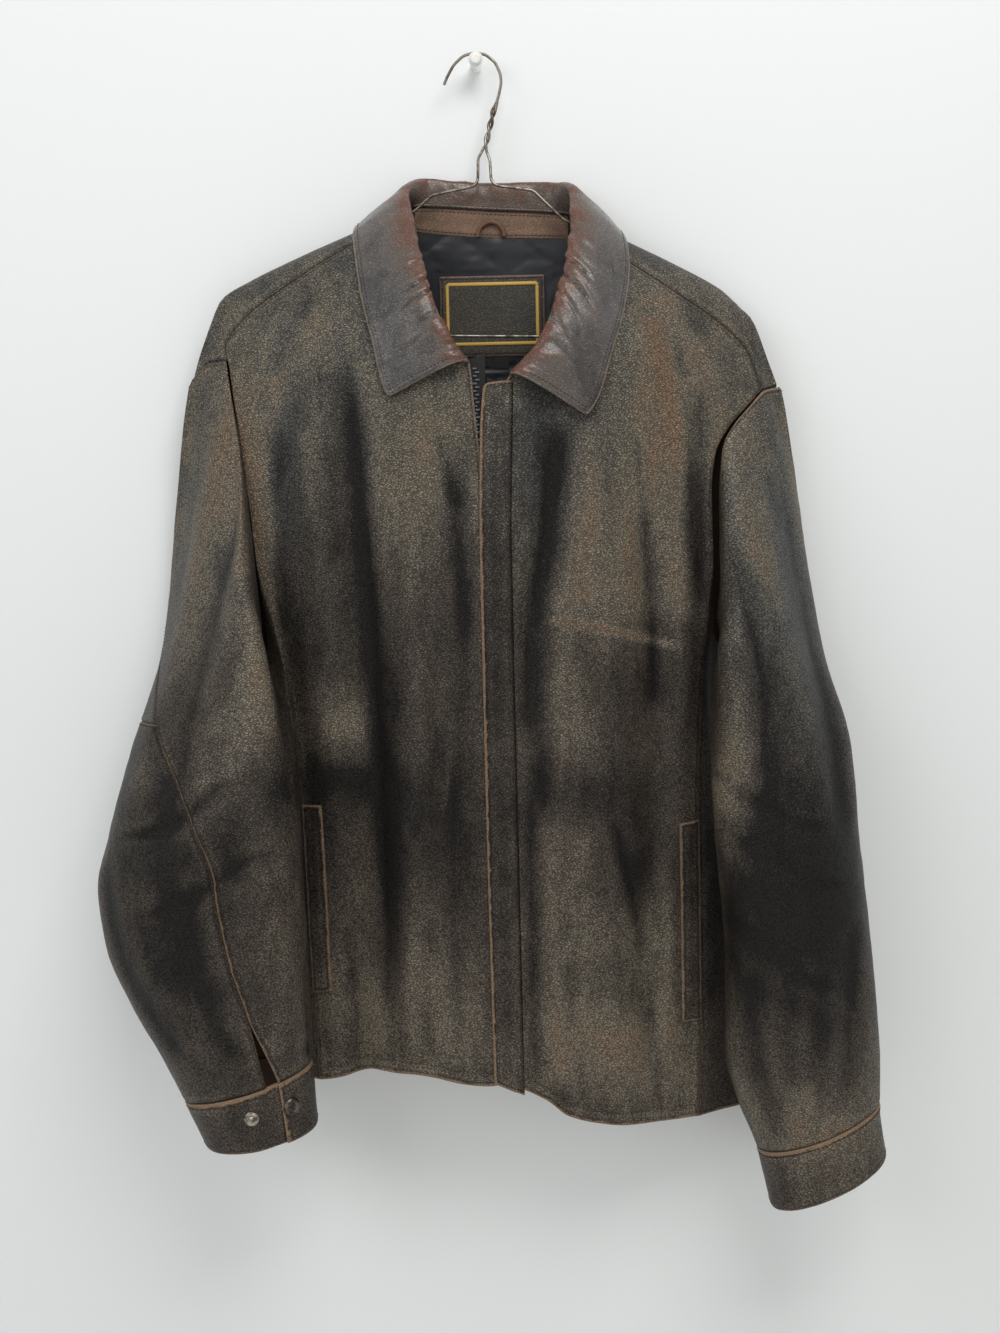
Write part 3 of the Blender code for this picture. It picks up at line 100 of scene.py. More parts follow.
armholeRows = {  # turn, x, z, share of the depth from front to back
    "right": [
        (0.0, -0.24, -0.2576, 0.5), (0.06, -0.2232, -0.2402, 0.0), (0.12, -0.2092, -0.2397, 0.0),
        (0.2, -0.203, -0.275, 0.0), (0.28, -0.194, -0.335, 0.0), (0.36, -0.188, -0.4, 0.0),
        (0.43, -0.184, -0.455, 0.18), (0.5, -0.188, -0.488, 0.5), (0.57, -0.199, -0.462, 0.76),
        (0.63, -0.201, -0.432, 0.89), (0.68, -0.202, -0.4, 1.0), (0.78, -0.206, -0.33, 1.0),
        (0.88, -0.218, -0.285, 1.0), (0.95, -0.233, -0.266, 1.0), (1.0, -0.24, -0.2576, 0.5),
    ],
    "left": [
        (0.0, 0.2431, -0.27, 0.5), (0.06, 0.236, -0.2715, 0.12), (0.12, 0.2288, -0.2735, 0.0),
        (0.17, 0.2153, -0.2864, 0.0), (0.22, 0.1983, -0.3041, 0.0), (0.26, 0.188, -0.323, 0.0),
        (0.3, 0.1842, -0.355, 0.0), (0.36, 0.1845, -0.41, 0.0), (0.43, 0.185, -0.455, 0.18),
        (0.5, 0.193, -0.48, 0.5), (0.57, 0.204, -0.462, 0.76), (0.63, 0.206, -0.438, 0.89),
        (0.68, 0.207, -0.41, 1.0), (0.78, 0.211, -0.34, 1.0), (0.88, 0.223, -0.298, 1.0),
        (0.95, 0.236, -0.279, 1.0), (1.0, 0.2431, -0.27, 0.5),
    ],
}
pocketSeam = {  # share of the height, x, z
    "right": [
        (0.0, -0.1506, -0.8365), (0.18, -0.1529, -0.762), (0.54, -0.156, -0.602), (0.77, -0.168, -0.5),
        (1.0, -0.188, -0.4),
    ],
    "left": [
        (0.0, 0.1675, -0.8766), (0.18, 0.1698, -0.793), (0.55, 0.1691, -0.622), (0.8, 0.1745, -0.5),
        (1.0, 0.1845, -0.41),
    ],
}
backSeam = {  # share of the height, x, z
    "right": [
        (0.0, -0.195, -0.836), (0.55, -0.195, -0.61), (1.0, -0.202, -0.4),
    ],
    "left": [
        (0.0, 0.205, -0.87), (0.55, 0.203, -0.63), (1.0, 0.207, -0.41),
    ],
}
centreEdge = {  # share of the height, x, z
    "right": [
        (0.0, 0.0035, -0.833), (0.3, 0.003, -0.65), (0.6, 0.0015, -0.45), (0.72, -0.0015, -0.35),
        (0.8, -0.007, -0.28), (0.84, -0.0095, -0.2515), (0.89, -0.036, -0.227), (0.95, -0.062, -0.185),
        (1.0, -0.074, -0.134),
    ],
    "left": [
        (0.0, 0.009, -0.8345), (0.3, 0.0085, -0.65), (0.6, 0.008, -0.45), (0.72, 0.0085, -0.35),
        (0.8, 0.0095, -0.285), (0.84, 0.0205, -0.262), (0.89, 0.05, -0.238), (0.95, 0.078, -0.198),
        (1.0, 0.093, -0.15),
    ],
}
hemLine = [  # x, z
    (-0.16, -0.8375), (-0.1273, -0.8321), (-0.1018, -0.8238), (-0.073, -0.8236), (-0.0287, -0.8337),
    (0.0171, -0.839), (0.0391, -0.8507), (0.0562, -0.8644), (0.0766, -0.8695), (0.1119, -0.8742),
    (0.17, -0.8768),
]
depthRows = [  # z, y at the centre, y at the pocket seams
    (-0.88, -0.106, -0.078), (-0.65, -0.108, -0.08), (-0.5, -0.106, -0.08), (-0.35, -0.103, -0.079),
    (-0.25, -0.099, -0.072), (-0.15, -0.08, -0.062),
]
bigFolds = [  # top x, top z, bottom x, bottom z, half width, depth
    (-0.12, -0.3, -0.112, -0.88, 0.02, 0.006), (-0.062, -0.42, -0.078, -0.88, 0.022, -0.005),
    (-0.03, -0.33, -0.04, -0.7, 0.016, 0.004), (0.06, -0.3, 0.045, -0.88, 0.02, 0.006),
    (0.098, -0.33, 0.1, -0.88, 0.024, -0.006), (0.14, -0.3, 0.125, -0.76, 0.016, 0.0045),
]
sideBulge = [  # share of the height, how far the side bows out
    (0.0, 0.058), (0.4, 0.05), (0.65, 0.028), (0.85, 0.004), (1.0, 0.0),
]
sleeveRows = {  # share, outer x, z, inner x, z, middle y, half depth, skew
    "right": [
        (0.0, -0.28, -0.495, -0.159, -0.522, -0.074, 0.05, 0.042),
        (0.2, -0.2935, -0.56, -0.1517, -0.574, -0.106, 0.049, 0.02),
        (0.38, -0.3079, -0.619, -0.1508, -0.633, -0.12, 0.049, 0.018),
        (0.5, -0.3155, -0.656, -0.1507, -0.668, -0.122, 0.05, 0.01),
        (0.64, -0.3106, -0.7005, -0.1507, -0.707, -0.123, 0.05, 0.004),
        (0.78, -0.2923, -0.7504, -0.1503, -0.745, -0.121, 0.047, 0.0),
        (0.9, -0.2726, -0.7925, -0.1494, -0.78, -0.119, 0.043, 0.0),
        (1.0, -0.2551, -0.8332, -0.1504, -0.8054, -0.117, 0.039, 0.0),
        (1.15, -0.2382, -0.8733, -0.1483, -0.8585, -0.117, 0.036, 0.0),
    ],
    "left": [
        (0.0, 0.28, -0.5, 0.1785, -0.514, -0.078, 0.05, 0.036),
        (0.18, 0.2885, -0.56, 0.1771, -0.58, -0.097, 0.049, 0.01),
        (0.4, 0.2965, -0.635, 0.1812, -0.655, -0.105, 0.048, 0.01),
        (0.62, 0.303, -0.71, 0.1862, -0.735, -0.106, 0.047, 0.004),
        (0.8, 0.308, -0.775, 0.1848, -0.808, -0.106, 0.045, 0.0),
        (0.92, 0.311, -0.82, 0.196, -0.852, -0.104, 0.041, 0.0),
        (1.0, 0.3115, -0.8532, 0.2115, -0.893, -0.102, 0.037, 0.0),
        (1.15, 0.3184, -0.9025, 0.2238, -0.9454, -0.1, 0.034, 0.0),
    ],
}
sleeveLeave = {  # turn, pull outward, forward and down at the armhole
    "right": [
        (0.0, 0.05, 0.0, 0.16), (0.12, 0.03, 0.05, 0.16), (0.22, -0.035, 0.082, 0.146),
        (0.3, -0.01, 0.123, 0.09), (0.38, -0.015, 0.12, 0.091), (0.45, 0.048, 0.14, 0.088),
        (0.52, 0.084, 0.086, 0.077), (0.6, 0.075, 0.036, 0.095), (0.68, 0.085, 0.01, 0.1),
        (0.78, 0.055, 0.0, 0.14), (1.0, 0.05, 0.0, 0.16),
    ],
    "left": [
        (0.0, 0.04, 0.0, 0.16), (0.12, 0.03, 0.05, 0.16), (0.22, 0.0, 0.076, 0.145),
        (0.3, 0.0, 0.09, 0.12), (0.38, 0.0, 0.1, 0.1), (0.45, 0.03, 0.1, 0.08), (0.52, 0.065, 0.06, 0.08),
        (0.6, 0.075, 0.03, 0.095), (0.68, 0.085, 0.01, 0.1), (0.78, 0.055, 0.0, 0.14),
        (1.0, 0.04, 0.0, 0.16),
    ],
}
sleeveTwist = [  # turn, how much further round the point ends up
    (0.0, 0.0), (0.3, 0.0), (0.45, 0.09), (0.6, 0.09), (0.84, 0.0), (1.0, 0.0),
]
backSleeveSeam = {  # share of the length, turn
    "right": [
        (0.0, -0.08), (0.2, -0.05), (0.4, 0.13), (0.5, 0.215), (0.62, 0.285), (1.0, 0.323),
    ],
    "left": [
        (0.0, -0.08), (0.4, -0.12), (0.7, -0.16), (1.0, -0.18),
    ],
}
underSleeveSeam = {  # share of the length, turn
    "right": [
        (0.0, 0.48), (0.5, 0.51), (1.0, 0.51),
    ],
    "left": [
        (0.0, 0.48), (0.5, 0.5), (1.0, 0.5),
    ],
}
collarRoll = [  # share, x, y, z
    (0.0, -0.0104, -0.106, -0.249), (0.1, -0.024, -0.104, -0.225), (0.2, -0.035, -0.093, -0.193),
    (0.32, -0.0461, -0.064, -0.1432), (0.4, -0.056, -0.034, -0.1), (0.44, -0.043, -0.011, -0.0885),
    (0.5, 0.004, -0.0078, -0.0915), (0.56, 0.06, -0.011, -0.093), (0.6, 0.0725, -0.034, -0.102),
    (0.68, 0.0685, -0.064, -0.14), (0.8, 0.059, -0.088, -0.19), (0.9, 0.041, -0.102, -0.236),
    (1.0, 0.0211, -0.109, -0.259),
]
collarEdge = [  # share, x, z, share of the depth
    (0.0, -0.0745, -0.2765, 0.0), (0.05, -0.08, -0.262, 0.0), (0.15, -0.0862, -0.232, 0.0),
    (0.25, -0.0945, -0.198, 0.0), (0.33, -0.1005, -0.159, 0.0), (0.36, -0.103, -0.14, 0.0),
    (0.38, -0.1035, -0.131, 0.5), (0.4, -0.1, -0.138, 1.0), (0.43, -0.088, -0.146, 1.0),
    (0.5, 0.008, -0.157, 1.0), (0.57, 0.103, -0.157, 1.0), (0.6, 0.117, -0.15, 1.0),
    (0.62, 0.1205, -0.142, 0.5), (0.64, 0.1203, -0.152, 0.0), (0.67, 0.12, -0.171, 0.0),
    (0.75, 0.1135, -0.21, 0.0), (0.85, 0.1025, -0.245, 0.0), (0.95, 0.0925, -0.276, 0.0),
    (1.0, 0.082, -0.2945, 0.0),
]
leather = 0.0014  # thickness
cloth = 0.001
gap = 0.0003
layer = leather + gap
step = 0.0034  # spacing of the mesh's lines on large panels
probe = 0.002
sides = {"right": -1, "left": 1}
armStep, frontTop, backTop = 0.04, 0.36, 0.68  # turns round the armhole
lowRows, acrossRows, overRows = 8, 9, 3
neckColumns = (-0.061, -0.035, 0.009, 0.052, 0.079)
body = {
    "centreX": 0.007, "seamReach": 0.163, "power": 2.2, "mostReach": 1.4, "shoulderReach": 0.11,
    "backReach": 0.035, "backY": -0.0045, "napeY": -0.008, "napeX": 0.008, "napeZ": -0.115,
    "napeWidth": 0.15, "napeHeight": 0.09, "neckHalf": 0.075, "edgeSplit": 0.62,
    "edgeAbove": (0.74, 0.84, 0.88, 0.92, 0.96, 1.0), "neckSink": 0.003, "sideTurn": 0.8,
    "sideRound": 0.9, "sideEarly": 0.75, "sideFade": 4, "foldFade": 4, "foldEnd": 1.15,
}
sleeve = {
    "lift": 0.0023, "cuffShare": 0.15, "capShare": 0.34, "arriveAt": 0.12, "arrive": 3.0,
    "elbow": {"right": (0.405, 0.445), "left": (0.455, 0.485)}, "slitStart": 0.88, "slitOpen": 0.022,
    "wallClear": -0.0009, "wallSoft": 0.0005,
}
wallSkin = -0.0004  # no cloth is drawn behind this


def smoothTable(table, at):
    # cubic pieces through the rows, the first column the position, each slope limited so none overshoots
    rows = np.array(table, float)
    knots, values = rows[:, 0], rows[:, 1:]
    place = np.clip(np.asarray(at, float), knots[0], knots[-1])
    steps = np.diff(knots)[:, None]
    slopes = np.diff(values, axis=0) / steps
    product = slopes[:-1] * slopes[1:]
    total = slopes[:-1] + slopes[1:]
    inner = np.where(product > 0, 2 * product / np.where(total == 0, 1, total), 0)
    tangents = np.vstack([slopes[:1], inner, slopes[-1:]])
    row = np.clip(np.searchsorted(knots, place, side="right") - 1, 0, len(knots) - 2)
    size = steps[row, 0][..., None]
    t = (place - knots[row])[..., None] / size
    start = values[row] * (1 + 2 * t) * (1 - t) ** 2 + tangents[row] * size * t * (1 - t) ** 2
    end = values[row + 1] * t * t * (3 - 2 * t) + tangents[row + 1] * size * t * t * (t - 1)
    return start + end


def column(table, at):
    return smoothTable(table, at)[..., 0]


def ease(t):
    t = np.clip(t, 0, 1)
    return t * t * (3 - 2 * t)


def mix(first, second, share):
    return first + (second - first) * share


def unit(vectors):
    return vectors / np.maximum(np.linalg.norm(vectors, axis=-1, keepdims=True), 1e-12)


def cloud(points, size, seed, stretch=(1, 1, 1)):
    # random values on a lattice, blended smoothly between its corners; about -1 to 1
    place = points / (np.array(stretch) * size) + seed * 17.31
    cell = np.floor(place).astype(np.int64)
    t = place - cell
    t = t * t * t * (t * (t * 6 - 15) + 10)
    total = np.zeros(points.shape[:-1])
    for corner in range(8):
        bits = np.array([corner & 1, corner >> 1 & 1, corner >> 2 & 1])
        at = cell + bits
        mixed = (at[..., 0] * 73856093) ^ (at[..., 1] * 19349663) ^ (at[..., 2] * 83492791) ^ (seed * 2654435)
        mixed = (mixed ^ (mixed >> 13)) * 1274126177
        value = ((mixed ^ (mixed >> 16)) & 65535) / 32767.5 - 1
        total += value * np.prod(np.where(bits, t, 1 - t), axis=-1)
    return total


def cuts(length, spacing=step, fine=(0.0005, 0.0012, 0.0022, 0.0036, 0.0056), ends="both"):
    # shares of a length: even steps, with close ones beside the ends so that an edge can roll over
    count = max(int(round(length / spacing)), 2)
    even = np.linspace(0, 1, count + 1)
    near = np.array(fine) / length
    start = near if ends in ("both", "start") else near[:0]
    end = 1 - near if ends in ("both", "end") else near[:0]
    keep = (even == 0) | (even == 1)
    low = start.max() if len(start) else 0.0
    high = end.min() if len(end) else 1.0
    spare = 0.4 / count
    keep |= (even > low + spare) & (even < high - spare)
    return np.unique(np.concatenate([even[keep], start, end]))


# the body's shape


def ridge(x):
    place = smoothTable(shoulderLine, x)
    return place[..., 1], place[..., 0]


def frontY(x, z):
    # bows between the pocket seams, rounds over the shoulder line, and carries the largest soft folds
    ridgeZ, ridgeY = ridge(x)
    across = np.clip(np.abs(x - body["centreX"]) / body["seamReach"], 0, body["mostReach"]) ** body["power"]
    depth = smoothTable(depthRows, z)
    hang = mix(depth[..., 0], depth[..., 1], across)
    drop = np.clip((ridgeZ - z) / body["shoulderReach"], 0, 1)
    push = np.zeros_like(x)
    for topX, topZ, bottomX, bottomZ, halfWidth, deep in bigFolds:
        along = (topZ - z) / (topZ - bottomZ)
        middle = mix(topX, bottomX, along)
        starts = np.clip(along * body["foldFade"], 0, 1)
        fade = starts * np.clip((body["foldEnd"] - along) * body["foldFade"], 0, 1)
        push += deep * np.exp(-(((x - middle) / halfWidth) ** 2)) * ease(fade)
    return ridgeY + (hang - ridgeY) * np.sqrt(1 - (1 - drop) ** 2) + push


def backY(x, z):
    # close to the wall, and further off under the collar
    ridgeZ, ridgeY = ridge(x)
    nape = ((x - body["napeX"]) / body["napeWidth"]) ** 4 + ((z - body["napeZ"]) / body["napeHeight"]) ** 4
    flat = mix(body["backY"], body["napeY"], np.exp(-nape))
    drop = np.clip((ridgeZ - z) / body["backReach"], 0, 1)
    inNeck = np.exp(-(((x - body["napeX"]) / body["neckHalf"]) ** 8))
    top = mix(ridgeY, flat, inNeck)
    return top + (flat - top) * np.sqrt(1 - (1 - drop) ** 2)


def between(x, z, share):
    return np.stack([x, mix(frontY(x, z), backY(x, z), share), z], axis=-1)


def frontPoint(x, z):
    return np.stack([x, frontY(x, z), z], axis=-1)


def slopeNormal(height, x, z, sign):
    across = (height(x + probe, z) - height(x - probe, z)) / (2 * probe)
    upward = (height(x, z + probe) - height(x, z - probe)) / (2 * probe)
    return unit(np.stack([sign * across, -sign * np.ones_like(x), sign * upward], axis=-1))


def armholePlace(side, turn):
    rows = np.array(armholeRows[side])
    before, after = rows[:-1].copy(), rows[1:].copy()
    before[:, 0] -= 1
    after[:, 0] += 1
    return smoothTable(np.vstack([before, rows, after]), turn)


def armhole(side, turn):
    place = armholePlace(side, turn)
    return between(place[..., 0], place[..., 1], place[..., 2])


def armholeNormal(side, turn):
    place = armholePlace(side, turn)
    x, z, share = place[..., 0], place[..., 1], place[..., 2:]
    front, back = slopeNormal(frontY, x, z, 1), slopeNormal(backY, x, z, -1)
    outward = np.array([sides[side] * body["sideTurn"], 0, 0])
    return unit(mix(front, back, share) + outward * 4 * share * (1 - share))


def gridNormal(grid, outward):
    normal = unit(np.cross(np.gradient(grid, axis=0), np.gradient(grid, axis=1)))
    return normal * np.sign((normal * outward).sum())


def patch(left, right, bottom, top, up, across):
    # a surface between four edges: the two ways of joining opposite edges, less the corners' own share
    up, across = up[:, None, None], across[None, :, None]
    both = mix(left[:, None], right[:, None], across) + mix(bottom[None], top[None], up)
    return both - mix(mix(bottom[0], bottom[-1], across), mix(top[0], top[-1], across), up)


def frontGrid(side, rows, across):
    # rows count as the seams' own steps do: eight up the pocket seam, then one for each armhole step
    low = np.minimum(rows / lowRows, 1)
    most = lowRows + len(body["edgeAbove"])
    share = np.interp(rows, np.arange(lowRows, most + 1), (body["edgeSplit"], *body["edgeAbove"]))
    inner = smoothTable(centreEdge[side], np.where(rows <= lowRows, body["edgeSplit"] * low, share))
    turns = frontTop - armStep * np.maximum(rows - lowRows, 0)
    below, above = smoothTable(pocketSeam[side], low), armholePlace(side, turns)[:, :2]
    outer = np.where(rows[:, None] <= lowRows, below, above)
    hemX = mix(inner[0, 0], outer[0, 0], across)
    hem = np.stack([hemX, column(hemLine, hemX)], axis=-1)
    ends = np.abs(across * 2 - 1)[:, None] ** 12
    hem = mix(hem, mix(inner[0], outer[0], across[:, None]), ends)
    place = patch(inner, outer, hem, smoothTable(shoulderSeam[side], 1 - across), rows / most, across)
    return frontPoint(place[..., 0], place[..., 1])


def sideGrid(side, low, across):
    turns = frontTop + (backTop - frontTop) * across
    front = smoothTable(pocketSeam[side], low)
    front = frontPoint(front[:, 0], front[:, 1])
    back = smoothTable(backSeam[side], low)
    back = between(back[:, 0], back[:, 1], np.ones(len(low)))
    grid = patch(front, back, mix(front[0], back[0], across[:, None]), armhole(side, turns), low, across)
    early = across ** body["sideEarly"] - across
    grid[..., 1] += (back[:, 1] - front[:, 1])[:, None] * early * (1 - low[:, None] ** body["sideFade"])
    bulge = column(sideBulge, low)[:, None] * np.sin(np.pi * across) ** body["sideRound"]
    grid[..., 0] += sides[side] * bulge
    return grid


def backGrid(rows, columns):
    # rows: eight up the side seams, eight up the armholes, three over the shoulder line
    most = lowRows + 8
    low = np.minimum(rows, most)
    turn = backTop + armStep * (low - lowRows)
    edges = {}
    for side in sides:
        seam = smoothTable(backSeam[side], np.minimum(low / lowRows, 1))
        edges[side] = np.where(low[:, None] <= lowRows, seam, armholePlace(side, turn)[:, :2])
    last = acrossRows * 2 + 2 + len(neckColumns) - 1
    along = {"right": columns / acrossRows, "left": (last - columns) / acrossRows}
    along = {side: np.clip(share, 0, 1) for side, share in along.items()}
    seam = {side: smoothTable(shoulderSeam[side], along[side]) for side in sides}
    neckStart, neckStop = acrossRows + 1, last - acrossRows - 1
    ends = {side: (edges[side][-1, 0], shoulderSeam[side][-1][1]) for side in sides}
    knots = np.concatenate([
        mix(*ends["right"], np.linspace(0, 1, acrossRows + 1)), neckColumns,
        mix(*ends["left"], np.linspace(0, 1, acrossRows + 1))[::-1],
    ])
    topX = np.interp(columns, np.arange(last + 1), knots)
    inNeck = np.interp(columns, (acrossRows, neckStart, neckStop, last - acrossRows), (0, 1, 1, 0))
    ridgeZ, _ = ridge(topX)
    top = np.stack([topX, ridgeZ - body["neckSink"] * inNeck], axis=-1)
    across = (topX - topX[0]) / (topX[-1] - topX[0])
    lowest = np.argmin(low)
    hem = mix(edges["right"][lowest], edges["left"][lowest], across[:, None])
    place = patch(edges["right"], edges["left"], hem, top, low / most, across)
    grid = between(place[..., 0], place[..., 1], np.ones(place.shape[:2]))
    over = np.clip((rows - most) / overRows, 0, 1)[:, None]
    forward = mix(seam["right"], seam["left"], (columns > last / 2)[:, None])
    front = frontPoint(mix(top[:, 0], forward[:, 0], over), mix(top[:, 1], forward[:, 1], over**2))
    neck = between(topX + 0 * over, mix(top[:, 1], ridgeZ, over), np.ones((len(rows), len(columns))))
    raised = mix(front, neck, inNeck[None, :, None])
    grid = np.where(over[..., None] > 0, raised, grid)
    for side, near in (("right", columns), ("left", last - columns)):
        at = rows > lowRows
        turns = backTop + armStep * (rows - lowRows)
        edge = np.argmin(near)
        change = armhole(side, turns) - grid[:, edge]
        grid += (change * at[:, None])[:, None] * np.clip(1 - near, 0, 1)[None, :, None]
    return grid


# the sleeves' shape


def sleeveSection(side, share, turn):
    row = smoothTable(sleeveRows[side], share)
    outer, inner = row[..., 0:2], row[..., 2:4]
    angle = 2 * np.pi * turn
    place = (outer + inner) / 2 + (outer - inner) / 2 * np.cos(angle)[..., None]
    y = row[..., 4] - row[..., 5] * np.sin(angle) + row[..., 6] * np.cos(angle)
    return np.stack([place[..., 0], y, place[..., 1]], axis=-1)


def sleevePoint(side, length, turn):
    # length 0 at the armhole and 1 at the cuff seam; turn once round, from the outer edge over the front
    length, turn = np.broadcast_arrays(np.asarray(length, float), np.asarray(turn, float))
    start = armhole(side, turn) + armholeNormal(side, turn) * sleeve["lift"]
    leave = smoothTable(sleeveLeave[side], np.mod(turn, 1.0)) * np.array([sides[side], -1.0, -1.0])
    turned = turn + column(sleeveTwist, np.mod(turn, 1.0))
    full = sleeveSection(side, np.zeros_like(turn), turned)
    arrive = (sleeveSection(side, np.full_like(turn, sleeve["arriveAt"]), turned) - full) * sleeve["arrive"]
    t = np.clip(length / sleeve["capShare"], 0, 1)[..., None]
    cap = start * (1 + 2 * t) * (1 - t) ** 2 + leave * t * (1 - t) ** 2
    cap = cap + full * t * t * (3 - 2 * t) + arrive * t * t * (t - 1)
    share = np.clip((length - sleeve["capShare"]) / (1 - sleeve["capShare"]), 0, 1 + sleeve["cuffShare"])
    point = np.where(t < 1, cap, sleeveSection(side, share, turned))
    beyond = (point[..., 1] - sleeve["wallClear"]) / sleeve["wallSoft"]
    point[..., 1] -= sleeve["wallSoft"] * np.logaddexp(0, beyond)
    return point


def sleeveNormal(side, length, turn):
    length, turn = np.broadcast_arrays(np.asarray(length, float), np.asarray(turn, float))
    along = sleevePoint(side, length + probe, turn) - sleevePoint(side, np.maximum(length - probe, 0), turn)
    around = sleevePoint(side, length, turn + probe) - sleevePoint(side, length, turn - probe)
    here = sleevePoint(side, length, turn)
    middle = (here + sleevePoint(side, length, turn + 0.5)) / 2
    normal = unit(np.cross(along, around))
    return normal * np.sign((normal * (here - middle)).sum())


def slit(side, length):
    opened = sleeve["slitOpen"] / 2 if side == "right" else 0.0
    return opened * np.clip((length - sleeve["slitStart"]) / (1 - sleeve["slitStart"]), 0, 1)


def topTurn(side, length, across):
    start = column(backSleeveSeam[side], length) + slit(side, length)
    return mix(start, column(underSleeveSeam[side], length), across)


def backTurn(side, length, across):
    end = 1 + column(backSleeveSeam[side], length) - slit(side, length)
    return mix(column(underSleeveSeam[side], length), end, across)


# creases and soft folds

# path of x, z points; half width; height (a valley is negative); how sharp its bottom is, 0 to 1
frontFolds = [
    ([(-0.1078, -0.2216), (-0.1034, -0.2769), (-0.0971, -0.4348), (-0.0929, -0.5635), (-0.0892, -0.8148)],
     0.013, -0.0042, 0.45),
    ([(-0.0388, -0.2984), (-0.0287, -0.3336), (-0.0194, -0.369)], 0.01, -0.0026, 0.3),
    ([(-0.1702, -0.285), (-0.171, -0.4343), (-0.16, -0.56)], 0.014, -0.0036, 0.2),
    ([(-0.136, -0.26), (-0.133, -0.45), (-0.127, -0.64)], 0.015, 0.0022, 0.0),
    ([(-0.06, -0.32), (-0.058, -0.5), (-0.064, -0.7)], 0.014, 0.002, 0.0),
    ([(-0.03, -0.54), (-0.035, -0.66), (-0.03, -0.82)], 0.009, -0.0022, 0.3),
    ([(-0.062, -0.67), (-0.068, -0.76), (-0.06, -0.84)], 0.01, 0.0018, 0.0),
    ([(-0.125, -0.7), (-0.118, -0.77), (-0.122, -0.85)], 0.008, -0.0018, 0.4),
    ([(0.058, -0.29), (0.048, -0.39), (0.033, -0.47), (0.03, -0.56)], 0.015, -0.005, 0.25),
    ([(0.088, -0.29), (0.08, -0.38), (0.07, -0.46)], 0.014, 0.0024, 0.0),
    ([(0.1286, -0.3526), (0.1322, -0.4083), (0.1358, -0.4582), (0.135, -0.54)], 0.011, -0.003, 0.35),
    ([(0.1739, -0.2659), (0.1764, -0.3615), (0.1782, -0.4583)], 0.011, -0.0034, 0.25),
    ([(0.156, -0.27), (0.154, -0.39), (0.158, -0.52)], 0.012, 0.0018, 0.0),
    ([(0.0316, -0.59), (0.0316, -0.65), (0.0313, -0.84)], 0.0085, -0.0036, 0.5),
    ([(0.048, -0.66), (0.05, -0.76), (0.052, -0.85)], 0.011, 0.002, 0.0),
    ([(0.0974, -0.6112), (0.11, -0.666), (0.1181, -0.7137), (0.1203, -0.7419)], 0.007, -0.0021, 0.6),
    ([(0.14, -0.63), (0.1405, -0.69), (0.141, -0.83)], 0.008, 0.0018, 0.0),
    ([(0.125, -0.77), (0.13, -0.82), (0.136, -0.87)], 0.009, -0.002, 0.3),
    ([(0.0412, -0.4526), (0.0885, -0.4605), (0.1593, -0.4809)], 0.0026, 0.0007, 0.0),
    ([(-0.13, -0.185), (-0.155, -0.22), (-0.175, -0.26)], 0.012, -0.0022, 0.2),
    ([(0.13, -0.2), (0.152, -0.235), (0.168, -0.27)], 0.012, -0.0024, 0.2),
]
backFolds = [
    ([(-0.165, -0.24), (-0.15, -0.42), (-0.142, -0.76)], 0.015, -0.0018, 0.3),
    ([(-0.108, -0.22), (-0.1, -0.46), (-0.112, -0.83)], 0.018, -0.0026, 0.25),
    ([(-0.056, -0.31), (-0.052, -0.52), (-0.06, -0.79)], 0.016, 0.0014, 0.0),
    ([(-0.015, -0.26), (-0.008, -0.5), (-0.018, -0.84)], 0.02, -0.0026, 0.3),
    ([(0.042, -0.3), (0.04, -0.56), (0.046, -0.83)], 0.015, -0.002, 0.35),
    ([(0.09, -0.23), (0.086, -0.42), (0.096, -0.69)], 0.017, 0.0014, 0.0),
    ([(0.126, -0.26), (0.122, -0.52), (0.131, -0.85)], 0.015, -0.0028, 0.3),
    ([(0.175, -0.29), (0.169, -0.46), (0.164, -0.7)], 0.014, -0.002, 0.2),
    ([(-0.19, -0.47), (-0.15, -0.455), (-0.1, -0.47)], 0.01, -0.0014, 0.4),
    ([(0.19, -0.48), (0.145, -0.47), (0.095, -0.49)], 0.01, -0.0014, 0.4),
]
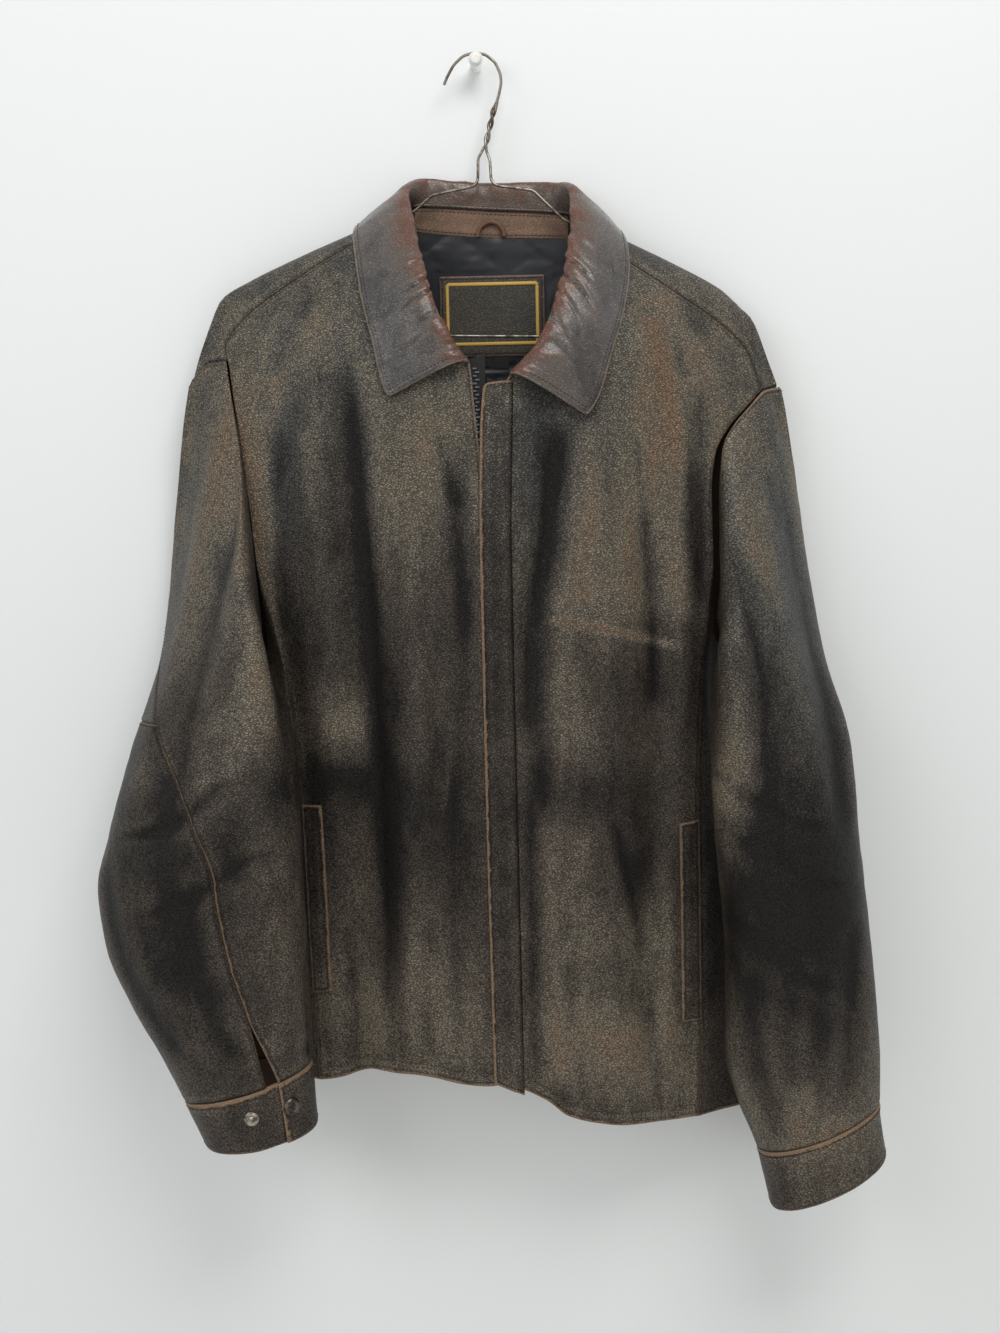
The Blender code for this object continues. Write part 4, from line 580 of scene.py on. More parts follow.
# length along the sleeve and turn round it; half width in metres; height; sharpness
sleeveFolds = {
    "right": [
        ([(0.05, 0.17), (0.3, 0.14), (0.55, 0.12)], 0.015, 0.0026, 0.0),
        ([(0.04, 0.25), (0.25, 0.22), (0.5, 0.2), (0.62, 0.17)], 0.012, -0.0034, 0.25),
        ([(0.1, 0.34), (0.35, 0.32), (0.6, 0.3)], 0.014, 0.0026, 0.0),
        ([(0.06, 0.42), (0.3, 0.4), (0.52, 0.38)], 0.012, -0.0036, 0.3),
        ([(0.46, 0.3), (0.54, 0.21), (0.58, 0.12)], 0.009, -0.0024, 0.5),
        ([(0.56, 0.36), (0.64, 0.27), (0.7, 0.18)], 0.009, -0.0022, 0.5),
        ([(0.62, 0.24), (0.8, 0.25), (0.96, 0.27)], 0.011, -0.0026, 0.3),
        ([(0.66, 0.33), (0.82, 0.34), (0.97, 0.35)], 0.012, 0.0024, 0.0),
        ([(0.76, 0.425), (0.88, 0.415), (1.0, 0.41)], 0.007, -0.0058, 0.6),
        ([(0.6, 0.08), (0.8, 0.12), (0.95, 0.16)], 0.01, -0.0022, 0.3),
        ([(0.1, 0.62), (0.4, 0.64), (0.8, 0.66)], 0.015, -0.0028, 0.3),
        ([(0.15, 0.78), (0.5, 0.8), (0.9, 0.82)], 0.015, -0.0026, 0.3),
        ([(0.38, 0.9), (0.46, 0.78), (0.52, 0.66)], 0.01, -0.0026, 0.5),
    ],
    "left": [
        ([(0.04, 0.06), (0.3, 0.05), (0.6, 0.07)], 0.014, 0.0022, 0.0),
        ([(0.08, 0.13), (0.35, 0.12), (0.6, 0.14)], 0.012, -0.0026, 0.25),
        ([(0.05, 0.22), (0.3, 0.21), (0.62, 0.22)], 0.015, 0.0028, 0.0),
        ([(0.06, 0.31), (0.3, 0.3), (0.55, 0.31), (0.75, 0.3)], 0.011, -0.0032, 0.3),
        ([(0.1, 0.4), (0.4, 0.39), (0.7, 0.4)], 0.014, 0.0024, 0.0),
        ([(0.44, 0.4), (0.52, 0.3), (0.56, 0.18)], 0.009, -0.0024, 0.5),
        ([(0.54, 0.36), (0.62, 0.26), (0.66, 0.12)], 0.01, -0.0024, 0.45),
        ([(0.66, 0.4), (0.74, 0.3), (0.8, 0.2)], 0.009, -0.0024, 0.5),
        ([(0.7, 0.14), (0.85, 0.16), (0.97, 0.18)], 0.01, -0.0026, 0.3),
        ([(0.72, 0.26), (0.86, 0.27), (0.98, 0.28)], 0.01, 0.0022, 0.0),
        ([(0.74, 0.36), (0.88, 0.35), (1.0, 0.34)], 0.008, -0.004, 0.5),
        ([(0.1, 0.6), (0.45, 0.62), (0.85, 0.63)], 0.015, -0.0028, 0.3),
        ([(0.12, 0.74), (0.5, 0.76), (0.9, 0.78)], 0.015, -0.0026, 0.3),
        ([(0.42, 0.88), (0.5, 0.76), (0.56, 0.64)], 0.01, -0.0026, 0.5),
    ],
}
grain = [  # size, height, stretch
    (0.09, 0.001, (1, 1, 3)), (0.034, 0.0006, (1, 1, 2.4)),
    (0.013, 0.00026, (1, 1, 1.3)), (0.0055, 0.0001, (1, 1, 1)),
]


def crease(along, across, path, width, height, sharp, scale=1.0, fade=0.16):
    # the path gives the middle across at each place along; scale turns across into metres
    rows = sorted(path)
    first, last = rows[0][0], rows[-1][0]
    middle = column(rows, along)
    away = np.abs(across - middle) * scale / width
    ends = ease((along - first) / (last - first) / fade) * ease((last - along) / (last - first) / fade)
    soft, cut = np.exp(-(away**2)), np.exp(-away * 2.6)
    shoulder = np.exp(-((away - 1.9) ** 2) / 0.6)
    return height * ends * (mix(soft, cut, sharp) - 0.28 * sharp * shoulder)


def planFolds(table, x, z):
    push = np.zeros_like(x)
    for path, width, height, sharp in table:
        (x0, z0), (x1, z1) = path[0], path[-1]
        if abs(z1 - z0) > abs(x1 - x0):
            push += crease(z, x, [(b, a) for a, b in path], width, height, sharp)
        else:
            push += crease(x, z, path, width, height, sharp)
    return push


def lumps(points, seed=3, strength=1.0):
    push = np.zeros(points.shape[:-1])
    for number, (size, height, stretch) in enumerate(grain):
        push += cloud(points, size, seed + number, stretch) * height
    return push * strength


def bodyRelief(points):
    x, y, z = points[..., 0], points[..., 1], points[..., 2]
    front = ease((-0.04 - y) / 0.024)
    push = planFolds(frontFolds, x, z) * front + planFolds(backFolds, x, z) * (1 - front)
    return push + lumps(points) * mix(0.35, 1.0, front)


def sleeveRelief(side, length, turn):
    around = 0.36  # metres once round
    place = np.mod(turn + 0.1, 1.0) - 0.1
    push = np.zeros_like(place)
    for path, width, height, sharp in sleeveFolds[side]:
        push += crease(length, place, path, width, height, sharp, around)
    points = sleevePoint(side, length, turn)
    push += lumps(points, 11)
    start = bodyRelief(armhole(side, turn))
    return mix(start, push, ease(length / 0.1))


# from grids to pieces


def spread(grid, edge):
    # distance from one edge of a grid, measured along the lines that leave it
    order = {"b": grid, "t": grid[::-1], "l": grid.swapaxes(0, 1), "r": grid.swapaxes(0, 1)[::-1]}[edge]
    size = np.linalg.norm(np.diff(order, axis=0), axis=-1)
    far = np.concatenate([np.zeros((1, order.shape[1])), np.cumsum(size, axis=0)])
    return {"b": far, "t": far[::-1], "l": far.T, "r": far[::-1].T}[edge]


def lineAt(grid, normal, edge, inset):
    # the line that runs this far inside an edge, and the normals along it
    turn = {"b": lambda g: g, "t": lambda g: g[::-1], "l": lambda g: g.swapaxes(0, 1),
            "r": lambda g: g.swapaxes(0, 1)[::-1]}[edge]
    far, points, normals = turn(spread(grid, edge)), turn(grid), turn(normal)
    row = np.clip((far < inset).sum(axis=0), 1, len(far) - 1)
    columns = np.arange(far.shape[1])
    low, high = far[row - 1, columns], far[row, columns]
    share = np.clip((inset - low) / np.maximum(high - low, 1e-9), 0, 1)[:, None]
    line = mix(points[row - 1, columns], points[row, columns], share)
    return line, unit(mix(normals[row - 1, columns], normals[row, columns], share))


def blurred(field, times):
    for _ in range(times):
        padded = np.pad(field, 1, mode="edge")
        middle = padded[1:-1, 1:-1]
        field = (middle * 2 + padded[:-2, 1:-1] + padded[2:, 1:-1] + padded[1:-1, :-2] + padded[1:-1, 2:]) / 6
    return field


def link(obj):
    bpy.context.scene.collection.objects.link(obj)
    return obj


def meshPiece(name, points, faces, finishes, smooth=True, attributes=None, faceFinish=None, sharp=None):
    mesh = bpy.data.meshes.new(name)
    mesh.vertices.add(len(points))
    mesh.vertices.foreach_set("co", np.asarray(points, np.float32).ravel())
    sizes = np.array([len(ring) for ring in faces])
    corners = np.concatenate([np.asarray(ring) for ring in faces])
    mesh.loops.add(len(corners))
    mesh.loops.foreach_set("vertex_index", corners.astype(np.int32))
    mesh.polygons.add(len(sizes))
    mesh.polygons.foreach_set("loop_start", np.concatenate([[0], np.cumsum(sizes)[:-1]]).astype(np.int32))
    for finish in finishes:
        mesh.materials.append(finish)
    if faceFinish is not None:
        mesh.polygons.foreach_set("material_index", faceFinish.astype(np.int32))
    mesh.polygons.foreach_set("use_smooth", np.full(len(sizes), smooth))
    for label, values in (attributes or {}).items():
        kept = mesh.attributes.new(label, "FLOAT", "POINT")
        kept.data.foreach_set("value", np.asarray(values, np.float32).ravel())
    mesh.update()
    mesh.validate()
    if sharp:
        mesh.set_sharp_from_angle(angle=math.radians(sharp))
    return link(bpy.data.objects.new(name, mesh))


def inset(grid, distance, edges="lrbt"):
    # the named edges drawn in along the surface
    grid = grid.copy()
    lines = {"b": (np.s_[0], np.s_[1]), "t": (np.s_[-1], np.s_[-2]), "l": (np.s_[:, 0], np.s_[:, 1]),
             "r": (np.s_[:, -1], np.s_[:, -2])}
    for edge in edges:
        line, beside = lines[edge]
        grid[line] += distance * unit(grid[beside] - grid[line])
    return grid


def roundCorner(grid, edges, radius):
    # the corner between two edges drawn in to an arc: distances from both shrink from a square to a disc
    a, b = spread(grid, edges[0]), spread(grid, edges[1])
    near = (a < radius) & (b < radius)
    toA, toB = radius - a, radius - b
    share = np.where(near, np.maximum(toA, toB) / np.maximum(np.hypot(toA, toB), 1e-9), 1.0)
    moved = grid.copy()
    for edge, toEdge in zip(edges, (toA, toB)):
        way = unit(np.gradient(grid, axis=0 if edge in "bt" else 1)) * (1 if edge in "bl" else -1)
        moved = moved + way * (toEdge * (1 - share) * near)[..., None]
    return moved


def shownEdge(points):
    # 0 where a cut edge is turned in and stays dark
    dark = np.zeros(points.shape[:-1])
    for atX, atZ, halfWidth, halfHeight in plainEdges:
        away = ((points[..., 0] - atX) / halfWidth) ** 2 + ((points[..., 2] - atZ) / halfHeight) ** 2
        dark += np.exp(-(away**2))
    return np.clip(1 - dark, 0, 1)


def sewnSheet(name, outer, normal, finishes, push=None, rolls=None, raw=None, thickness=leather, wearAndShadeTone=0.0,
              pucker=0.0, cools=0.0):
    # a closed sheet: its outer face is the grid moved out by push, its inner face lies one thickness behind.
    # rolls gives, for an edge, how far it dips and over what width; raw gives how bare its cut edge is
    push = np.zeros(outer.shape[:2]) if push is None else push
    far = {edge: spread(outer, edge) for edge in "lrbt"}
    shown = shownEdge(outer)
    dip = np.zeros_like(push)
    for edge, (deep, width) in (rolls or {}).items():
        dip = np.maximum(dip, deep * np.clip(1 - far[edge] / width, 0, 1) ** 2)
        if pucker:
            along = cloud(outer, 0.0065, 41, (1, 1, 1)) * pucker
            dip = dip + along * np.exp(-far[edge] / 0.006) * (far[edge] > 0.001)
    bare = np.zeros_like(push)
    nearEdge = np.min([far[e] for e in (rolls or {"l": 0})], axis=0)
    # painted shade along each rolled edge, where the seam dips in
    groove = 0.9 * np.exp(-((nearEdge / 0.0016) ** 2))
    for edge, (amount, width) in (raw or {}).items():
        ragged = width * (1 + 0.45 * cloud(outer, 0.005, 47, (1, 1, 1)))
        strip = amount * np.clip(1 + (ragged - far[edge]) / 0.0007, 0, 1)
        # painted shadow: a dark strip just past each bare cut strip
        beside = 0.8 * amount * np.exp(-(((far[edge] - width - 0.001) / 0.001) ** 2))
        groove = np.maximum(groove * (1 - strip), beside)
        bare = np.maximum(bare, strip)
    bare, groove, dip = bare * shown, groove * mix(0.3, 1, shown), dip * mix(0.15, 1, shown)
    # the relief's ridges are rubbed paler, which is wear; its hollows are darkened, which is painted shade
    hump = push - blurred(push, 14)
    rubAndShade = np.clip(hump / 0.0012, -1, 1) * 0.55 + wearAndShadeTone
    rubAndShade = rubAndShade + 0.3 * np.exp(-(((nearEdge - 0.0045) / 0.003) ** 2)) - groove
    face = outer + normal * (push - dip)[..., None]
    face[..., 1] = np.minimum(face[..., 1], wallSkin)
    points = np.concatenate([face.reshape(-1, 3), (face - normal * thickness).reshape(-1, 3)])
    rows, columns = outer.shape[:2]
    number = np.arange(rows * columns).reshape(rows, columns)
    behind = rows * columns
    skin = np.stack([number[:-1, :-1], number[:-1, 1:], number[1:, 1:], number[1:, :-1]], axis=-1)
    skin = skin.reshape(-1, 4)
    ring = np.concatenate([number[0], number[1:, -1], number[-1, -2::-1], number[-2:0:-1, 0]])
    after = np.roll(ring, -1)
    rim = np.stack([after, ring, ring + behind, after + behind], axis=-1)
    faces = np.concatenate([skin, skin[:, ::-1] + behind, rim])
    kind = np.concatenate([np.zeros(len(skin)), np.ones(len(skin)), np.zeros(len(rim))])
    around = np.cross(outer[:-1, 1:] - outer[:-1, :-1], outer[1:, :-1] - outer[:-1, :-1])
    if (around * normal[:-1, :-1]).sum() < 0:
        faces = faces[:, ::-1]
    # the first attribute holds rubbed wear and painted shade; then come the bare cut strips and the bluer
    # tint
    shading = {"rubAndShade": rubAndShade, "bare": bare, "cool": cools + 0 * rubAndShade}
    shading = {label: np.concatenate([values.ravel()] * 2) for label, values in shading.items()}
    obj = meshPiece(name, points, faces, finishes, attributes=shading, faceFinish=kind, sharp=48)
    return obj, face


def arcs(face):
    # the longest way across and along a sheet, and its area, in metres
    width = np.linalg.norm(np.diff(face, axis=1), axis=-1).sum(axis=1).max()
    length = np.linalg.norm(np.diff(face, axis=0), axis=-1).sum(axis=0).max()
    a, b = face[1:, 1:] - face[:-1, :-1], face[1:, :-1] - face[:-1, 1:]
    return width, length, 0.5 * np.linalg.norm(np.cross(a, b), axis=-1).sum()


def settle(obj, slotName, *nodes):
    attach(obj, "root")
    if nodes:
        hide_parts(*nodes)
    return obj


def asSheet(obj, face, slotName, node):
    settle(obj, slotName, node)
    width, length, area = arcs(face)
    width = min(width, area / 0.32 / length)  # a cut that tapers both ways leaves much of its own box empty
    print(f"{node}: cut {width * 1000:.0f} x {length * 1000:.0f} mm, {area:.4f} square metres")


def repeated(copies, faces):
    # the points of all copies of one small shape, and their faces
    starts = range(0, copies.shape[0] * copies.shape[1], copies.shape[1])
    return copies.reshape(-1, 3), [[start + point for point in face] for start in starts for face in faces]


def stitches(name, rows, finish, pitch=0.0034, length=0.0026, radius=0.00032, crosswise=False):
    # short five-sided threads along each line, sunk a little into the leather
    angle = np.arange(5) * 2 * np.pi / 5
    ring = np.stack([0 * angle, np.cos(angle), np.sin(angle)], axis=-1) * radius
    tip, shoulder = np.array([[length / 2, 0, 0]]), [length * 0.28, 0, 0]
    shape = np.concatenate([-tip, ring - shoulder, ring + shoulder, tip])
    n = np.arange(5)
    m = (n + 1) % 5
    faces = [[0, 1 + b, 1 + a] for a, b in zip(n, m)]
    faces += [[1 + a, 1 + b, 6 + b, 6 + a] for a, b in zip(n, m)]
    faces += [[6 + a, 6 + b, 11] for a, b in zip(n, m)]
    threads = []
    for line, normal in rows:
        size = np.linalg.norm(np.diff(line, axis=0), axis=-1)
        far = np.concatenate([[0], np.cumsum(size)])
        at = np.arange(pitch / 2, far[-1] - pitch / 2, pitch)
        centre, ahead, up = (
            np.stack([np.interp(place, far, row) for row in values.T], axis=-1)
            for place, values in ((at, line), (at + pitch / 2, line), (at, normal)))
        up = unit(up)
        along = unit(ahead - centre)
        cross = unit(np.cross(up, along))
        if crosswise:
            along, cross = cross, -along
        along = unit(along + cross * 0.1)
        frames = np.stack([along, cross, up], axis=1)
        threads.append(np.einsum("pi,nij->npj", shape, frames) + (centre + up * radius * 0.35)[:, None])
    return meshPiece(name, *repeated(np.concatenate(threads), faces), [finish])


def ringFaces(rings, count):
    # quads that join each ring of points to the next, and the pairs of neighbours round one ring
    n = np.arange(count)
    m = (n + 1) % count
    base = (np.arange(rings - 1) * count)[:, None]
    quads = np.stack([base + n, base + m, base + m + count, base + n + count], axis=-1).reshape(-1, 4)
    return quads, list(zip(n, m))


def closedTube(name, points, rings, finish):
    # rings round a path, each end closed by a fan from the path's own last point
    count = rings.shape[1]
    quads, pairs = ringFaces(len(points), count)
    total = len(points) * count
    faces = quads.tolist() + [[total, b, a] for a, b in pairs]
    faces += [[total + 1, total - count + a, total - count + b] for a, b in pairs]
    every = np.concatenate([rings.reshape(-1, 3), points[:1], points[-1:]])
    return meshPiece(name, every, faces, [finish], sharp=60)


def circles(points, first, second, radius, count):
    # round the path in the plane of two directions: first times the cosine, second times the sine
    angle = np.arange(count) * 2 * np.pi / count
    ring = first[:, None] * np.cos(angle)[None, :, None] + second[:, None] * np.sin(angle)[None, :, None]
    return points[:, None] + ring * np.broadcast_to(radius, len(points))[:, None, None]


def tube(name, points, radius, finish, count):
    # a round section carried along a path that never runs along y
    ahead = unit(np.gradient(points, axis=0))
    side = unit(np.cross(ahead, [0, 1, 0]))
    rings = circles(points, side, np.cross(side, ahead), radius, count)
    return closedTube(name, points, rings, finish)


def lathe(name, profile, finish, place, turn, count=40):
    # a profile of radius and height turned about the z axis, then laid over by a matrix
    profile = np.array(profile)
    angle = np.arange(count) * 2 * np.pi / count
    radius, height = profile[1:-1, 0][:, None], profile[1:-1, 1][:, None]
    rings = np.stack([radius * np.cos(angle), radius * np.sin(angle), height + 0 * angle], axis=-1)
    rings = rings.reshape(-1, 3)
    points = np.concatenate([rings, [[0, 0, profile[0, 1]], [0, 0, profile[-1, 1]]]])
    quads, pairs = ringFaces(len(profile) - 2, count)
    total = len(rings)
    faces = quads[:, ::-1].tolist() + [[total, a, b] for a, b in pairs]
    faces += [[total + 1, total - count + b, total - count + a] for a, b in pairs]
    return meshPiece(name, points @ np.array(turn).T + np.array(place), faces, [finish], sharp=35)


# materials


def linear(red, green, blue):
    # a colour given 0 to 255 on screen, turned to the linear values that shaders take
    shown = np.array([red, green, blue]) / 255
    kept = np.where(shown <= 0.04045, shown / 12.92, ((shown + 0.055) / 1.055) ** 2.4)
    return (*kept.tolist(), 1.0)


class Nodes:
    # adds nodes, sets their values and joins them
    def __init__(self, tree):
        self.tree = tree

    def join(self, value, socket):
        # from another node's socket, or a plain value
        if isinstance(value, bpy.types.NodeSocket):
            self.tree.links.new(value, socket)
        else:
            socket.default_value = value

    def add(self, kind, values=None, **settings):
        node = self.tree.nodes.new(kind)
        for name, value in settings.items():
            setattr(node, name, value)
        for name, value in (values or {}).items():
            self.join(value, node.inputs[name])
        return node

    def math(self, operation, *values):
        return self.add("ShaderNodeMath", dict(enumerate(values)), operation=operation).outputs[0]

    def swing(self, value, amount):
        # a noise from 0 to 1, brought about zero and scaled
        return self.math("MULTIPLY", self.math("SUBTRACT", value, 0.5), amount)

    def ramp(self, value, low, high, start=0.0, stop=1.0):
        values = {"Value": value, "From Min": low, "From Max": high, "To Min": start, "To Max": stop}
        node = self.add("ShaderNodeMapRange", values, interpolation_type="SMOOTHSTEP", clamp=True)
        return node.outputs["Result"]

    def blend(self, share, first, second):
        # the mix node's colour sockets are its seventh and eighth
        return self.add("ShaderNodeMix", {0: share, 6: first, 7: second}, data_type="RGBA").outputs[2]

    def noise(self, place, scale, detail, rough=0.55, output="Fac", **more):
        values = {"Vector": place, "Scale": scale, "Detail": detail, "Roughness": rough, **more}
        return self.add("ShaderNodeTexNoise", values).outputs[output]

    def cells(self, place, scale):
        values = {"Vector": place, "Scale": scale}
        return self.add("ShaderNodeTexVoronoi", values, feature="DISTANCE_TO_EDGE").outputs["Distance"]

    def vector(self, operation, values):
        return self.add("ShaderNodeVectorMath", values, operation=operation).outputs[0]

    def attribute(self, name):
        return self.add("ShaderNodeAttribute", attribute_name=name).outputs["Fac"]


def newGroup(name, inputs, outputs):
    # inputs go from label to first value, outputs from label to kind of socket
    tree = bpy.data.node_groups.new(name, "ShaderNodeTree")
    for label, value in inputs.items():
        kind = "NodeSocketColor" if isinstance(value, tuple) else "NodeSocketFloat"
        socket = tree.interface.new_socket(label, in_out="INPUT", socket_type=kind)
        socket.default_value = value
    for label, kind in outputs.items():
        tree.interface.new_socket(label, in_out="OUTPUT", socket_type="NodeSocket" + kind)
    nodes = Nodes(tree)
    return nodes, nodes.add("NodeGroupInput").outputs, nodes.add("NodeGroupOutput").inputs


def colours(dark, middle, cool, pale, worn, bare):
    # valleys and what painted shade darkens, plain leather, where it is bluer, rubbed, rubbed through, and
    # cut edges
    names = ("Dark", "Middle", "Cool", "Pale", "Worn", "Bare")
    return {name: linear(*shade) for name, shade in zip(names, (dark, middle, cool, pale, worn, bare))}


wornShape = {
    "tall": (1.0, 1.0, 0.42), "wide": (15.0, 4.0, 0.6), "wideSwing": 1.6, "middle": (60.0, 4.0, 0.62),
    "middleSwing": 1.2, "fine": (1300.0, 2.0, 0.5), "speck": (900.0, 1.0, 0.5), "bend": (260.0, 2.0, 0.5),
    "bendBy": 0.003, "lean": (0.0, 0.35, 0.0), "cell": (0.66, 0.66, 1.42), "groups": 0.3,
    "topSwing": 1.4, "fineSwing": 0.4, "pebbleTone": 0.12, "coolShare": 0.8,
    "toMiddle": (-0.95, 0.45), "toPale": (0.05, 0.95), "toWorn": (0.5, 1.6), "toBare": (0.75, 1.35),
    "darkest": 0.76, "palest": 0.52, "roughMore": 0.18, "bareRough": 0.25, "fineHeight": 0.9,
}
wornDefaults = {
    **colours((40, 36, 33), (85, 80, 72), (70, 78, 80), (112, 105, 93), (150, 120, 95), (160, 132, 106)),
    "Wear": 0.0, "Pebbles": 560.0, "Blotch": 1.0, "Grain": 0.8, "Gloss": 0.4, "Polish": 0.4,
}


def buildWornLeather():
    # pebbled grain with dark valleys and rubbed tops, soft blotches, and edges cut bare
    kinds = {"Color": "Color", "Roughness": "Float", "Shine": "Float", "Height": "Float"}
    nodes, given, out = newGroup("wornLeather", wornDefaults, kinds)
    shape, math, ramp = wornShape, nodes.math, nodes.ramp
    place = nodes.add("ShaderNodeTexCoord").outputs["Object"]
    tall = nodes.add("ShaderNodeMapping", {"Vector": place, "Scale": shape["tall"]}).outputs[0]
    wide = nodes.noise(tall, *shape["wide"], Distortion=0.6)
    middle = nodes.noise(tall, *shape["middle"], Distortion=0.4)
    fine, speck = nodes.noise(place, *shape["fine"]), nodes.noise(place, *shape["speck"])
    drift = nodes.vector("SCALE", {0: nodes.noise(place, *shape["bend"], "Color"), "Scale": shape["bendBy"]})
    bent = nodes.vector("ADD", {0: place, 1: drift})
    turned = {"Vector": bent, "Rotation": shape["lean"], "Scale": shape["cell"]}
    flat = nodes.add("ShaderNodeMapping", turned).outputs[0]
    cells = nodes.cells(flat, given["Pebbles"])
    groups = nodes.cells(flat, math("MULTIPLY", given["Pebbles"], shape["groups"]))
    tops = math("MULTIPLY", ramp(cells, 0.02, 0.3), ramp(groups, 0.0, 0.1, 0.75, 1.0))
    # the first attribute holds rubbed wear and painted shade in creases and along seams
    rubAndShade, bare, cool = (nodes.attribute(name) for name in ("rubAndShade", "bare", "cool"))
    blotch = math("ADD", nodes.swing(wide, shape["wideSwing"]), nodes.swing(middle, shape["middleSwing"]))
    tone = math("ADD", math("MULTIPLY_ADD", blotch, given["Blotch"], given["Wear"]), rubAndShade)
    pebble = math("ADD", nodes.swing(tops, shape["topSwing"]), nodes.swing(fine, shape["fineSwing"]))
    full = math("MULTIPLY_ADD", pebble, shape["pebbleTone"], tone)
    # the colour, from the valleys to the rubbed places and the cut edges
    tinted = nodes.blend(math("MULTIPLY", cool, shape["coolShare"]), given["Middle"], given["Cool"])
    body = nodes.blend(ramp(full, *shape["toMiddle"]), given["Dark"], tinted)
    body = nodes.blend(ramp(full, *shape["toPale"]), body, given["Pale"])
    worn = nodes.blend(ramp(tone, *shape["toWorn"]), body, given["Worn"])
    cut = math("MULTIPLY", bare, ramp(math("MULTIPLY_ADD", fine, 1.3, bare), *shape["toBare"]))
    colour = nodes.blend(cut, worn, given["Bare"])
    # darker between the pebbles and paler on them, but not on a cut edge
    low = math("SUBTRACT", 1.0, math("MULTIPLY", given["Grain"], shape["darkest"]))
    high = math("MULTIPLY_ADD", given["Grain"], shape["palest"], 1.0)
    depth = math("MULTIPLY", ramp(pebble, -0.6, 0.6, low, high), ramp(speck, 0.6, 0.8, 1.0, 0.85))
    depth = math("MULTIPLY_ADD", math("MULTIPLY", cut, 0.6), math("SUBTRACT", 1.0, depth), depth)
    nodes.join(nodes.vector("SCALE", {0: colour, "Scale": depth}), out["Color"])
    rough = math("MULTIPLY_ADD", ramp(full, -0.5, 1.2), shape["roughMore"], given["Polish"])
    nodes.join(math("MULTIPLY_ADD", bare, shape["bareRough"], rough), out["Roughness"])
    shine = math("MULTIPLY", ramp(depth, 0.3, 1.3, 0.1, 1.0), ramp(full, -0.8, 0.4, 0.5, 1.0))
    nodes.join(math("MULTIPLY", shine, given["Gloss"]), out["Shine"])  # feeds the coat
    nodes.join(math("ADD", tops, math("MULTIPLY", fine, shape["fineHeight"])), out["Height"])
    return nodes.tree


def buildWeave():
    # crossed threads, as fine waves along two directions
    nodes, given, out = newGroup("weave", {"Threads": 2600.0}, {"Height": "Float"})
    place = nodes.add("ShaderNodeTexCoord").outputs["Object"]
    values = {"Vector": place, "Scale": given["Threads"], "Distortion": 0.4, "Detail": 1.0}
    waves = [nodes.add("ShaderNodeTexWave", values, bands_direction=way).outputs["Fac"] for way in "XZ"]
    nodes.join(nodes.math("ADD", *waves), out["Height"])
    return nodes.tree


def buildScuff():
    # cloudy wear for metal and plastic: a mask, 0 to 1
    nodes, given, out = newGroup("scuff", {"Size": 200.0}, {"Mask": "Float"})
    place = nodes.add("ShaderNodeTexCoord").outputs["Object"]
    nodes.join(nodes.ramp(nodes.noise(place, given["Size"], 5.0, 0.65), 0.42, 0.66), out["Mask"])
    return nodes.tree


wornLeather, weave, scuff = buildWornLeather(), buildWeave(), buildScuff()


def newMaterial(name, colour, roughness, metallic=0.0):
    made = bpy.data.materials.new(name)
    made.use_nodes = True
    made.diffuse_color = colour
    nodes, shader = Nodes(made.node_tree), made.node_tree.nodes["Principled BSDF"].inputs
    for label, value in (("Base Color", colour), ("Roughness", roughness), ("Metallic", metallic)):
        nodes.join(value, shader[label])
    return made, nodes, shader


def plainFinish(name, colour, roughness):
    return newMaterial(name, linear(*colour), roughness)[0]


def bumped(nodes, shader, height, strength, distance):
    values = {"Height": height, "Strength": strength, "Distance": distance}
    nodes.join(nodes.add("ShaderNodeBump", values).outputs["Normal"], shader["Normal"])


def leatherFinish(name, shades, grainDepth=0.0003, **values):
    values = {label.capitalize(): value for label, value in values.items()}
    values = {**wornDefaults, **colours(*shades), **values}
    made, nodes, shader = newMaterial(name, values["Middle"], 0.5)
    group = nodes.add("ShaderNodeGroup", node_tree=wornLeather)
    for label, value in values.items():
        group.inputs[label].default_value = value
    for label, output in (("Base Color", "Color"), ("Roughness", "Roughness"), ("Coat Weight", "Shine")):
        nodes.join(group.outputs[output], shader[label])
    bumped(nodes, shader, group.outputs["Height"], 0.9, grainDepth)
    shader["Coat Roughness"].default_value = values["Polish"]
    shader["Specular IOR Level"].default_value = 0.3 * values["Gloss"]
    return made


def wovenFinish(name, colour, roughness, threads, depth):
    made, nodes, shader = newMaterial(name, linear(*colour), roughness)
    group = nodes.add("ShaderNodeGroup", node_tree=weave)
    group.inputs["Threads"].default_value = threads
    bumped(nodes, shader, group.outputs["Height"], 0.6, depth)
    return made


def scuffedFinish(name, bright, dull, roughness, dullRoughness, metallic, size):
    bright, dull = linear(*bright), linear(*dull)
    made, nodes, shader = newMaterial(name, bright, roughness, metallic)
    group = nodes.add("ShaderNodeGroup", node_tree=scuff)
    group.inputs["Size"].default_value = size
    mask = group.outputs["Mask"]
    nodes.join(nodes.blend(mask, bright, dull), shader["Base Color"])
    nodes.join(nodes.ramp(mask, 0.0, 1.0, roughness, dullRoughness), shader["Roughness"])
    return made


